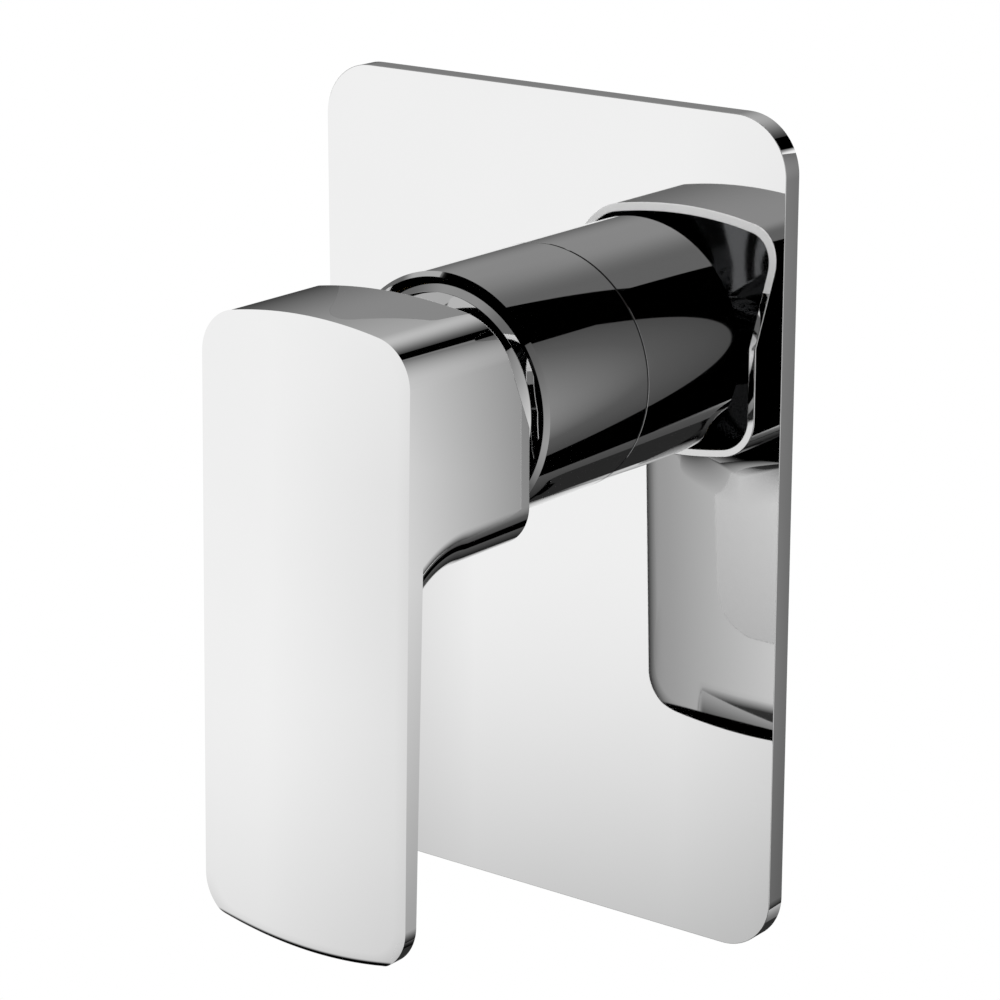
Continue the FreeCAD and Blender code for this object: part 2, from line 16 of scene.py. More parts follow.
import bmesh
import bpy
import numpy as np
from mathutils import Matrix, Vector

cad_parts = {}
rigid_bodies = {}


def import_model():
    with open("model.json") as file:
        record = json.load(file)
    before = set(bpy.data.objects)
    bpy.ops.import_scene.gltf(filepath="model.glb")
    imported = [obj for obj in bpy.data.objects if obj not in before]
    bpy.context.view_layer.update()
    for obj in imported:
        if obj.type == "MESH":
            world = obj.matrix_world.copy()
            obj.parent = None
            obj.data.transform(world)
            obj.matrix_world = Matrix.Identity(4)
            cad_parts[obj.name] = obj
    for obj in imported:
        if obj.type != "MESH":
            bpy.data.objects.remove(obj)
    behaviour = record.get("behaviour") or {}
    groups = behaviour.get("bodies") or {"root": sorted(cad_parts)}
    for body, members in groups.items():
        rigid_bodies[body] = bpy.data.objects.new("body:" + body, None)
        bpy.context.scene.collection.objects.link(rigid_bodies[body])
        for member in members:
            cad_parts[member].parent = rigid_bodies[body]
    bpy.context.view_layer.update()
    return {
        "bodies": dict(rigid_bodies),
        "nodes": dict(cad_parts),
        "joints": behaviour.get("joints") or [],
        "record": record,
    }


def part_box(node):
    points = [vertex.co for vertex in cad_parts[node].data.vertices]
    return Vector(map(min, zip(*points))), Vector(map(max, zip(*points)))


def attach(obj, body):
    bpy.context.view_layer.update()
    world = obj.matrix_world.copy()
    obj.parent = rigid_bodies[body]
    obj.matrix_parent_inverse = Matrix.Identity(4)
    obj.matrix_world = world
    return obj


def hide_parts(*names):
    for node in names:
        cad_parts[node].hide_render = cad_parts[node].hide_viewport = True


LOG = logging.getLogger("mixer_tap")

# Metres in a millimetre.
MM = 0.001
# Points that are closer than this are welded into one.
WELD_M = 2e-7
# An edge that turns by more than this stays sharp.
CREASE_DEG = 33.0
# Distance from a crease to the row of points that keeps it crisp.
SUPPORT_MM = 0.04
# Least length and least fall that a division is made by.
LEAST_LENGTH = 1e-9
LEAST_FALL = 1e-6
# Factors that mirror a point of across and rise about the upright middle line.
FLIP = np.array([-1.0, 1.0])
WHITE = (1.0, 1.0, 1.0, 1.0)

Array = np.ndarray


class Body(str, Enum):
    """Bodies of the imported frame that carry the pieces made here."""

    VALVE = "valve"
    LEVER = "lever"


class LeverDress(IntEnum):
    """Places of the lever's finishes in its list."""

    OUTSIDE = 0
    CAVITY = 1
    FACET = 2


class Grain(Enum):
    """How a surface was made, which sets the pattern that its finish carries."""

    POLISHED = "polished"
    CAST = "cast"
    TURNED = "turned"
    MOULDED = "moulded"
    CELLS = "cells"


def linear_colour(hex_colour: str) -> tuple[float, float, float, float]:
    """Turns an sRGB hex colour into linear light.

    A part p of the colour gives p / 12.92 up to 0.04045 and ((p + 0.055) / 1.055)^2.4 above that.

    Args:
        hex_colour: Six hex digits, such as "E6E7E8".

    Returns:
        Linear red, green, blue and an opaque alpha.
    """
    parts = np.array([int(hex_colour[i:i + 2], 16) for i in (0, 2, 4)]) / 255.0
    light = np.where(parts <= 0.04045, parts / 12.92, ((parts + 0.055) / 1.055) ** 2.4)
    return float(light[0]), float(light[1]), float(light[2]), 1.0


def add_node(tree: bpy.types.NodeTree, kind: str, settings: dict[str | int, Any] | None = None,
             links: dict[str | int, bpy.types.NodeSocket] | None = None) -> bpy.types.Node:
    """Adds one node with its settings and links.

    Args:
        tree: Node tree that takes the node.
        kind: Blender's name of the node type.
        settings: Values by the input socket's name or place, or by attribute where no socket has that name.
        links: Sockets that feed the node's inputs, by the input socket's name or place.

    Returns:
        The new node.
    """
    node = tree.nodes.new(kind)
    for name, value in (settings or {}).items():
        if isinstance(name, int) or name in node.inputs:
            node.inputs[name].default_value = value
        else:
            setattr(node, name, value)
    for name, socket in (links or {}).items():
        tree.links.new(socket, node.inputs[name])
    return node


def maths(tree: bpy.types.NodeTree, operation: str,
          *given: bpy.types.NodeSocket | float) -> bpy.types.NodeSocket:
    """Adds one sum on single values.

    Args:
        tree: Node tree that takes the node.
        operation: Blender's name of the sum.
        given: Sockets and plain numbers that go into it, in order.

    Returns:
        Socket with the result.
    """
    numbers = {place: value for place, value in enumerate(given) if isinstance(value, float)}
    sockets = {place: value for place, value in enumerate(given) if place not in numbers}
    return add_node(tree, "ShaderNodeMath", {"operation": operation, **numbers}, sockets).outputs[0]


@dataclass(frozen=True)
class Finish:
    """One material: its colours, how shiny it is and the pattern that its making leaves.

    The pattern mixes the two colours, moves the roughness between its two limits and gives the bump.
    """

    name: str
    light: str
    dark: str
    metallic: float
    roughness: tuple[float, float]
    grain: Grain
    grain_mm: float
    relief_mm: float
    ior: float = 1.5

    def pattern(self, tree: bpy.types.NodeTree) -> bpy.types.NodeSocket:
        """Adds the pattern of the finish on object coordinates.

        Args:
            tree: Node tree of the material.

        Returns:
            Socket with the pattern's value, from 0 to 1.
        """
        place = add_node(tree, "ShaderNodeTexCoord").outputs["Object"]
        scale = 1.0 / (self.grain_mm * MM)
        if self.grain is Grain.TURNED:
            rings = {"wave_type": "RINGS", "rings_direction": "Y", "Scale": scale / math.tau,
                     "Distortion": 0.6, "Detail": 2.0, "Detail Scale": 0.3}
            return add_node(tree, "ShaderNodeTexWave", rings, {"Vector": place}).outputs["Fac"]
        if self.grain is Grain.CELLS:
            cells = {"feature": "SMOOTH_F1", "Scale": scale}
            return add_node(tree, "ShaderNodeTexVoronoi", cells, {"Vector": place}).outputs["Distance"]
        detail = {Grain.POLISHED: 2.0, Grain.CAST: 6.0, Grain.MOULDED: 3.0}[self.grain]
        noise = {"Scale": scale, "Detail": detail, "Roughness": 0.55}
        return add_node(tree, "ShaderNodeTexNoise", noise, {"Vector": place}).outputs["Fac"]

    def height(self, tree: bpy.types.NodeTree, value: bpy.types.NodeSocket) -> bpy.types.NodeSocket:
        """Height of the surface, counted in reliefs: the pattern itself."""
        return value

    def material(self) -> bpy.types.Material:
        """Builds the node material of the finish.

        Returns:
            The finished material.
        """
        made = bpy.data.materials.new(self.name)
        made.use_nodes = True
        tree = made.node_tree
        shader = tree.nodes["Principled BSDF"]
        shader.inputs["Metallic"].default_value = self.metallic
        shader.inputs["IOR"].default_value = self.ior
        value = self.pattern(tree)
        mix = add_node(tree, "ShaderNodeMix", {"data_type": "RGBA"}, {"Factor": value})
        colours = [socket for socket in mix.inputs if socket.type == "RGBA"]
        colours[0].default_value = linear_colour(self.dark)
        colours[1].default_value = linear_colour(self.light)
        mixed = [socket for socket in mix.outputs if socket.type == "RGBA"][0]
        tree.links.new(mixed, shader.inputs["Base Color"])
        low, high = self.roughness
        spread = add_node(tree, "ShaderNodeMapRange", {"To Min": high, "To Max": low}, {"Value": value})
        tree.links.new(spread.outputs["Result"], shader.inputs["Roughness"])
        bump = add_node(tree, "ShaderNodeBump", {"Strength": 1.0, "Distance": self.relief_mm * MM},
                        {"Height": self.height(tree, value)})
        tree.links.new(bump.outputs["Normal"], shader.inputs["Normal"])
        return made


@dataclass(frozen=True)
class PortedBrass(Finish):
    """Cast brass with cut ends and cut threads on its pipe ports.

    The ports stand upright behind the wall: the outlet above the axis, an inlet to each side below it.
    """

    inlet_across: float = 14.5
    port_depth: float = 15.0
    port_radius: float = 9.4
    thread_length: float = 13.0
    thread_pitch: float = 1.814
    thread_reliefs: float = 4.0
    cut_depth: float = 0.05

    def pattern(self, tree: bpy.types.NodeTree) -> bpy.types.NodeSocket:
        """Adds the casting's grain, smooth and bright on the cut ends of the ports.

        Args:
            tree: Node tree of the material.

        Returns:
            Socket with the pattern's value, from 0 to 1.
        """
        value = super().pattern(tree)
        low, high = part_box("in_wall_body")
        place = add_node(tree, "ShaderNodeTexCoord").outputs["Object"]
        rise = add_node(tree, "ShaderNodeSeparateXYZ", {}, {"Vector": place}).outputs["Z"]
        ends = (("GREATER_THAN", high.z - self.cut_depth * MM), ("LESS_THAN", low.z + self.cut_depth * MM))
        for operation, limit in ends:
            value = maths(tree, "MAXIMUM", value, maths(tree, operation, rise, limit))
        return value

    def height(self, tree: bpy.types.NodeTree, value: bpy.types.NodeSocket) -> bpy.types.NodeSocket:
        """Adds the threads of the ports to the casting's grain.

        A thread is a sine of the rise with the thread's pitch, wherever the distance from a port's axis is
        less than the port's radius and the rise is within the thread's length of the port's end.

        Args:
            tree: Node tree of the material.
            value: The casting's grain.

        Returns:
            Socket with the height, counted in reliefs.
        """
        low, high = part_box("in_wall_body")
        place = add_node(tree, "ShaderNodeTexCoord").outputs["Object"]
        folded = add_node(tree, "ShaderNodeVectorMath", {"operation": "ABSOLUTE"}, {0: place})
        rise = add_node(tree, "ShaderNodeSeparateXYZ", {}, {"Vector": place}).outputs["Z"]
        wave = maths(tree, "SINE", maths(tree, "MULTIPLY", rise, math.tau / (self.thread_pitch * MM)))
        ports = ((place, 0.0, "GREATER_THAN", high.z - self.thread_length * MM),
                 (folded.outputs["Vector"], self.inlet_across, "LESS_THAN", low.z + self.thread_length * MM))
        for source, across, operation, limit in ports:
            axis = (across * MM, self.port_depth * MM, 0.0)
            offset = add_node(tree, "ShaderNodeVectorMath", {"operation": "SUBTRACT", 1: axis}, {0: source})
            level = add_node(tree, "ShaderNodeVectorMath", {"operation": "MULTIPLY", 1: (1.0, 1.0, 0.0)},
                             {0: offset.outputs["Vector"]})
            away = add_node(tree, "ShaderNodeVectorMath", {"operation": "LENGTH"},
                            {0: level.outputs["Vector"]})
            near = maths(tree, "LESS_THAN", away.outputs["Value"], self.port_radius * MM)
            both = maths(tree, "MULTIPLY", near, maths(tree, operation, rise, limit))
            ridge = maths(tree, "MULTIPLY", wave, both)
            value = maths(tree, "MULTIPLY_ADD", ridge, self.thread_reliefs, value)
        return value


def chrome(base: str, roughness: tuple[float, float], wave_mm: float, relief_mm: float) -> Finish:
    """Polished chrome over a base metal: a bright neutral mirror with the faintest waves from buffing.

    Args:
        base: Name of the metal below.
        roughness: Least and greatest roughness.
        wave_mm: Size of the waves.
        relief_mm: Height of the waves.

    Returns:
        The finish.
    """
    return Finish(f"polished_chrome_on_{base}", "F1F1F1", "EEEEEE", 1.0, roughness, Grain.POLISHED,
                  wave_mm, relief_mm)


# Chrome on the cast lever: a clear mirror with the deepest buffing waves of the four.
CHROME_LEVER = chrome("zinc", (0.015, 0.03), 30.0, 0.0004)
# Chrome on the flat plate: the sharpest mirror of the four, with the longest waves.
CHROME_PLATE = chrome("steel", (0.01, 0.02), 40.0, 0.0003)
# Chrome on the drawn sleeve: a clear mirror with shorter, shallower waves.
CHROME_SLEEVE = chrome("drawn_brass", (0.015, 0.03), 25.0, 0.0002)
# Chrome on the turned dome: the softest of the four, its glints have slightly blurred edges.
CHROME_DOME = chrome("turned_brass", (0.02, 0.035), 20.0, 0.0002)
# Painted shade inside the casting's cavity: a smooth dark metal that mirrors only a tenth of the light, so
# the recess reads dark.
PAINTED_SHADE_CAVITY = Finish("painted_shade_cavity_on_zinc", "5F6061", "57585A", 1.0, (0.04, 0.09), Grain.CAST, 1.2, 0.002)
# Painted reflection on the slanted rim: a pale satin white that stands in for a bright band of reflected
# light, and scatters light instead of mirroring.
PAINTED_REFLECTION_WHITE = Finish("painted_reflection_white_on_zinc", "F6F6F6", "EFEFEF", 0.0, (0.35, 0.5),
                       Grain.MOULDED, 0.3, 0.002, 1.5)
# Pressed steel behind the plate, left unplated: satin grey, faintly mottled.
PRESSED_STEEL = Finish("pressed_steel", "B9BBBD", "A2A5A8", 1.0, (0.4, 0.55), Grain.CAST, 2.5, 0.003)
# Sand-cast brass: dull yellow, grainy, a little darker in the pits, bright where the ports are cut.
CAST_BRASS = PortedBrass("sand_cast_brass", "D4B36F", "9A793F", 1.0, (0.24, 0.56), Grain.CAST, 0.9, 0.09)
# Turned brass: brighter, with rings from the tool, drawn coarser than its feed so that they show.
TURNED_BRASS = Finish("turned_brass", "DCBD7A", "C6A45E", 1.0, (0.18, 0.32), Grain.TURNED, 0.5, 0.012)
# Ground steel: bright grey with an even grain, drawn coarser than the grinding so that it shows.
GROUND_STEEL = Finish("ground_stainless_steel", "C4C6C8", "A5A8AB", 1.0, (0.2, 0.35), Grain.CAST, 0.3, 0.004)
# Lapped alumina: smooth warm white with a clear shine.
ALUMINA = Finish("lapped_alumina", "F2F0EA", "E6E2D8", 0.0, (0.12, 0.2), Grain.MOULDED, 0.4, 0.001, 1.77)
# Moulded white acetal: clean white, half matt.
WHITE_ACETAL = Finish("moulded_white_acetal", "ECEDEC", "DFE1E1", 0.0, (0.35, 0.5),
                      Grain.MOULDED, 0.8, 0.004, 1.48)
# Moulded grey nylon: a dull middle grey.
GREY_NYLON = Finish("moulded_grey_nylon", "83878B", "6E7276", 0.0, (0.45, 0.6),
                    Grain.MOULDED, 0.7, 0.006, 1.53)
# Moulded red acetal: a strong red, half matt, that marks the stop ring.
RED_ACETAL = Finish("moulded_red_acetal", "B4342B", "9C2820", 0.0, (0.35, 0.5),
                    Grain.MOULDED, 0.8, 0.004, 1.48)
# Moulded black nitrile: nearly black and matt.
BLACK_NITRILE = Finish("moulded_black_nitrile", "2B2B2C", "1D1D1E", 0.0, (0.5, 0.7),
                       Grain.MOULDED, 0.5, 0.006, 1.52)
# Closed-cell foam: dark grey and pitted, its cells drawn larger than real ones so that they show.
FOAM = Finish("closed_cell_foam", "4A4A4C", "2C2C2E", 0.0, (0.75, 0.95), Grain.CELLS, 0.9, 0.25, 1.45)


def bench_points(across: Array, rise: Array, reach: Array) -> Array:
    """Turns bench sizes in millimetres into frame points in metres.

    The frame has X across, Z up the wall and -Y out of it, so reach counts along -Y.

    Args:
        across: Distances to the right of the barrel's axis.
        rise: Heights above the axis.
        reach: Distances out from the wall.

    Returns:
        Points, with x, y and z on the last axis.
    """
    across, rise, reach = np.broadcast_arrays(across, rise, reach)
    return np.stack([across, -reach, rise], axis=-1) * MM


def quarter(steps: int) -> Array:
    """Angles of a quarter turn in even steps, both ends included."""
    return np.linspace(0.0, math.pi / 2, steps + 1)


def round_fall(radius: float, width: float, distance: Array) -> Array:
    """Drop of a circular rounding that starts a given width in from an edge.

    The drop is radius - sqrt(radius^2 - (width - distance)^2) nearer the edge than width, and 0 past it.

    Args:
        radius: Radius of the rounding.
        width: Distance from the edge where it starts.
        distance: Distances from the edge.

    Returns:
        Drops at those distances.
    """
    inside = np.clip(width - distance, 0.0, radius)
    return radius - np.sqrt(np.maximum(radius ** 2 - inside ** 2, 0.0))


class Skin:
    """Closed surface that is collected from grids of points and welded along their shared edges."""

    def __init__(self, name: str, *finishes: bpy.types.Material) -> None:
        """Starts an empty surface with the name of its piece and its finishes."""
        self.name = name
        self.finishes = finishes
        self._points: list[Array] = []
        self._quads: list[Array] = []
        self._dress: list[Array] = []
        self._count = 0

    def add(self, grid: Array, wrap: bool = True, finish: int | Array = 0) -> None:
        """Adds a grid of points as quads.

        Args:
            grid: Points by row and column.
            wrap: Whether the last column joins the first.
            finish: Place of the quads' finish in the list: one for all, one for each column, or one column
                of places with one for each row.
        """
        rows, columns = grid.shape[:2]
        index = np.arange(rows * columns).reshape(rows, columns) + self._count
        after = np.roll(index, -1, axis=1)
        quads = np.stack([index[:-1], after[:-1], after[1:], index[1:]], axis=-1)
        if not wrap:
            quads = quads[:, :-1]
        self._points.append(grid.reshape(-1, 3))
        self._quads.append(quads.reshape(-1, 4))
        self._dress.append(np.broadcast_to(finish, quads.shape[:2]).ravel())
        self._count += rows * columns

    def build(self, body: Body, slot: str, *nodes: str) -> bpy.types.Object:
        """Welds the grids, smooths the surface between its creases and hands the piece to its body.

        Args:
            body: Body that carries the piece.
            slot: Material slot of the record; not used.
            nodes: Nodes of the frame that the piece stands for.

        Returns:
            The finished object.
        """
        mesh = bpy.data.meshes.new(self.name)
        mesh.from_pydata(np.concatenate(self._points), [], np.concatenate(self._quads))
        mesh.polygons.foreach_set("material_index", np.concatenate(self._dress).astype(np.int32))
        shape = bmesh.new()
        shape.from_mesh(mesh)
        bmesh.ops.remove_doubles(shape, verts=shape.verts, dist=WELD_M)
        bmesh.ops.dissolve_degenerate(shape, edges=shape.edges, dist=WELD_M)
        bmesh.ops.recalc_face_normals(shape, faces=shape.faces)
        open_edges = sum(1 for edge in shape.edges if not edge.is_manifold)
        shape.to_mesh(mesh)
        shape.free()
        mesh.shade_smooth()
        mesh.set_sharp_from_angle(angle=math.radians(CREASE_DEG))
        for finish in self.finishes:
            mesh.materials.append(finish)
        piece = bpy.data.objects.new(self.name, mesh)
        bpy.context.scene.collection.objects.link(piece)
        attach(piece, body.value)
        if nodes:
            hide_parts(*nodes)
        LOG.info("%s: %d faces, %d open edges", self.name, len(mesh.polygons), open_edges)
        return piece


def turned_grid(profile: list[tuple[float, float]], columns: int) -> Array:
    """Carries a profile round the barrel's axis.

    A profile point (radius, reach) goes to radius * cos(a), radius * sin(a) at every angle a.

    Args:
        profile: Radius and reach of each row, in millimetres.
        columns: Number of angles in the full turn.

    Returns:
        Grid of points.
    """
    rows = np.array(profile)
    angles = np.linspace(0.0, math.tau, columns, endpoint=False)
    return bench_points(rows[:, :1] * np.cos(angles), rows[:, :1] * np.sin(angles), rows[:, 1:])


@dataclass
class CoverPlate:
    """Stamped plate with rounded corners, a hollow back and a hole for the valve."""

    corner_radius: float = 10.0
    edge_radius: float = 0.08
    face_thickness: float = 2.0
    rim_width: float = 2.5
    hole_radius: float = 20.7
    corner_steps: int = 28
    side_steps: int = 24
    edge_steps: int = 8
    rear_bands: int = 3

    def outline(self) -> tuple[Array, Array]:
        """Rounded rectangle of the plate, corner by corner.

        Returns:
            Outline points and outward normals, each by row of across and rise.
        """
        low, high = (np.array(corner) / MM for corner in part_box("wall_plate"))
        points, normals = [], []
        support = SUPPORT_MM / (high[0] - low[0])
        shares = np.concatenate([[support], np.linspace(0, 1, self.side_steps + 1)[1:-1], [1 - support]])
        corners = [(high[0], high[2], 0), (low[0], high[2], 1), (low[0], low[2], 2), (high[0], low[2], 3)]
        for x, z, turn in corners:
            angles = quarter(self.corner_steps) + turn * math.pi / 2
            normal = np.stack([np.cos(angles), np.sin(angles)], axis=-1)
            inner = np.array([x, z]) - self.corner_radius * np.sign([x, z - (low[2] + high[2]) / 2])
            points.append(inner + self.corner_radius * normal)
            normals.append(normal)
        path, outward = [], []
        for arc, after, normal in zip(points, points[1:] + points[:1], normals):
            start, end = arc[-1], after[0]
            path += [arc, start + shares[:, None] * (end - start)]
            outward += [normal, np.repeat(normal[-1:], len(shares), axis=0)]
        return np.concatenate(path), np.concatenate(outward)

    def build(self, finish: bpy.types.Material, back: bpy.types.Material) -> bpy.types.Object:
        """Carries the plate's section round its outline.

        Args:
            finish: Material of the plate.
            back: Material of its rear rim and pocket.

        Returns:
            The plate.
        """
        path, normal = self.outline()
        depth = -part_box("wall_plate")[0].y / MM
        pocket = depth - self.face_thickness
        hole = self.hole_radius * path / np.linalg.norm(path, axis=1, keepdims=True)
        edge = self.edge_radius
        section = [(edge + SUPPORT_MM, depth)]
        section += [(edge * (1 - math.sin(a)), depth - edge * (1 - math.cos(a)))
                    for a in quarter(self.edge_steps)]
        section += [(0.0, depth - edge - SUPPORT_MM), (0.0, 0.0), (self.rim_width, 0.0),
                    (self.rim_width, pocket)]
        rows = [bench_points(hole[:, 0], hole[:, 1], reach) for reach in (pocket, depth)]
        for inset, reach in section:
            ring = path - inset * normal
            rows.append(bench_points(ring[:, 0], ring[:, 1], reach))
        rows.append(rows[0])
        bands = len(rows) - 1
        behind = np.arange(bands) >= bands - self.rear_bands
        skin = Skin("cover_plate", finish, back)
        skin.add(np.stack(rows), finish=behind[:, None].astype(int))
        return skin.build(Body.VALVE, "chrome_plate", "wall_plate")


@dataclass
class BarrelSleeve:
    """Drawn sleeve that stands on the plate, open at both ends, with a chamfer round its mouth."""

    wall: float = 1.35
    seam: float = 0.25
    chamfer: float = 0.8
    # Sizes of the black ring at the sleeve's foot, which paints the shade in the seam.
    shade_ring_depth: float = 0.2
    shade_ring_inset: float = 0.04
    columns: int = 256

    def build(self, finish: bpy.types.Material) -> bpy.types.Object:
        """Turns the sleeve's section about the axis.

        Args:
            finish: Material of the sleeve.

        Returns:
            The sleeve.
        """
        low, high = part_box("barrel_sleeve")
        outer, rear, front = high.x / MM, -high.y / MM, -low.y / MM
        inner = outer - self.wall
        profile = [(outer - self.seam, rear), (outer, rear + self.seam), (outer, front - self.chamfer),
                   (outer - self.chamfer, front), (inner, front), (inner, rear), (outer - self.seam, rear)]
        skin = Skin("sleeve", finish)
        skin.add(turned_grid(profile, self.columns))
        return skin.build(Body.VALVE, "chrome_sleeve", "barrel_sleeve")

    def build_seam_shade_ring(self, finish: bpy.types.Material) -> bpy.types.Object:
        """Thin black ring in the groove between the sleeve's foot and the plate: painted shade along the
        seam.

        Args:
            finish: Material of the black ring.

        Returns:
            The black ring.
        """
        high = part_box("barrel_sleeve")[1]
        outer, rear = high.x / MM - self.shade_ring_inset, -high.y / MM
        inner = outer - 2 * self.seam
        front = rear + self.shade_ring_depth
        skin = Skin("seam_shade_ring", finish)
        skin.add(turned_grid([(inner, rear), (outer, rear), (outer, front), (inner, front), (inner, rear)],
                             self.columns))
        return skin.build(Body.VALVE, "black_rubber")


@dataclass
class DomeCap:
    """Screwed cap: a skirt, a sloped flange flush with the sleeve's mouth and a shallow dome."""

    wall: float = 1.2
    skirt_wall: float = 1.05
    flange_lip: float = 0.36
    flange_depth: float = 1.0
    flange_slope: float = 30.0
    ledge: float = 0.93
    foot_slope: float = 53.0
    foot_width: float = 2.6
    dome_slope: float = 45.0
    hole_radius: float = 9.544
    outside_rows: int = 60
    inside_rows: int = 40
    columns: int = 256

    def build(self, finish: bpy.types.Material) -> bpy.types.Object:
        """Turns the cap's section about the axis.

        The dome rises from a straight foot and is part of a sphere: at an angle a from the axis it has the
        radius sphere * sin(a) and the reach centre + sphere * cos(a).

        Args:
            finish: Material of the cap.

        Returns:
            The cap.
        """
        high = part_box("dome_cap")[1]
        flange, skirt_start = high.x / MM, -high.y / MM
        skirt = flange - self.flange_lip
        skirt_inner, foot = skirt - self.skirt_wall, skirt - self.ledge
        foot_reach = -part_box("barrel_sleeve")[0].y / MM
        fall, climb = (math.tan(math.radians(slope)) for slope in (self.flange_slope, self.foot_slope))
        flange_reach = foot_reach - (flange - foot) * fall
        flange_rear = flange_reach - self.flange_depth
        base = foot - self.foot_width
        sphere = base / math.sin(math.radians(self.dome_slope))
        centre = foot_reach + self.foot_width * climb - sphere * math.cos(math.radians(self.dome_slope))
        inner = sphere - self.wall
        outside = np.linspace(math.asin(base / sphere), math.asin(self.hole_radius / sphere),
                              self.outside_rows)
        inside = np.linspace(math.asin(self.hole_radius / inner), math.asin(skirt_inner / inner),
                             self.inside_rows)
        profile = [(skirt_inner, skirt_start), (skirt, skirt_start), (skirt, flange_rear),
                   (flange, flange_rear), (flange, flange_reach),
                   (foot + SUPPORT_MM, foot_reach - SUPPORT_MM * fall), (foot, foot_reach),
                   (foot - SUPPORT_MM, foot_reach + SUPPORT_MM * climb)]
        profile += [(sphere * math.sin(a), centre + sphere * math.cos(a)) for a in outside]
        profile += [(inner * math.sin(a), centre + inner * math.cos(a)) for a in inside]
        profile += [(skirt_inner, skirt_start)]
        skin = Skin("dome", finish)
        skin.add(turned_grid(profile, self.columns))
        return skin.build(Body.VALVE, "chrome_dome", "dome_cap")


@dataclass(frozen=True)
class ArchedOutline:
    """Outline of the lever: straight sides, ends that are wide arcs, round corners.

    Each corner arc touches its side and its end arc, so its centre lies at side = half_width - corner and
    at a height lift = sqrt((arch - corner)^2 - side^2) from the centre of the end arc.
    """

    half_width: float
    top: float
    bottom: float
    arch: float
    corner: float

    @property
    def side(self) -> float:
        """Distance of the corner centres from the middle."""
        return self.half_width - self.corner

    @property
    def lift(self) -> float:
        """Height of a corner centre over the centre of its end arc."""
        return math.sqrt((self.arch - self.corner) ** 2 - self.side ** 2)

    @property
    def turn(self) -> float:
        """Angle of a corner arc, from the side to the end arc."""
        return math.atan2(self.lift, self.side)

    @property
    def high(self) -> float:
        """Rise of the upper corner centres."""
        return self.top - self.arch + self.lift

    @property
    def low(self) -> float:
        """Rise of the lower corner centres."""
        return self.bottom + self.arch - self.lift

    def end_points(self, angles: Array, upper: bool) -> tuple[Array, Array]:
        """Points of the right half of an end by the angle of their normal.

        Args:
            angles: Angles from the side's normal, from 0 to a quarter turn.
            upper: Whether the upper end is meant.

        Returns:
            Points and outward normals, by row of across and rise.
        """
        sign = 1.0 if upper else -1.0
        normal = np.stack([np.cos(angles), sign * np.sin(angles)], axis=-1)
        corner_centre = np.array([self.side, self.high if upper else self.low])
        arch_centre = np.array([0.0, self.top - self.arch if upper else self.bottom + self.arch])
        on_corner = (angles <= self.turn)[:, None]
        points = np.where(on_corner, corner_centre + self.corner * normal, arch_centre + self.arch * normal)
        return points, normal

    def inset(self, across: Array, rise: Array) -> Array:
        """Distance from the outline, positive inside it.

        Args:
            across: Distances from the middle.
            rise: Heights.

        Returns:
            The distances.
        """
        x = np.abs(across)
        up = np.hypot(x, rise - (self.top - self.arch))
        down = np.hypot(x, rise - (self.bottom + self.arch))
        distance = np.minimum(self.half_width - x, self.arch - np.maximum(up, down))
        for centre, sign in ((self.high, 1.0), (self.low, -1.0)):
            angle = np.arctan2(sign * (rise - centre), x - self.side)
            wedge = (angle >= 0.0) & (angle <= self.turn)
            distance = np.where(wedge, self.corner - np.hypot(x - self.side, rise - centre), distance)
        return distance


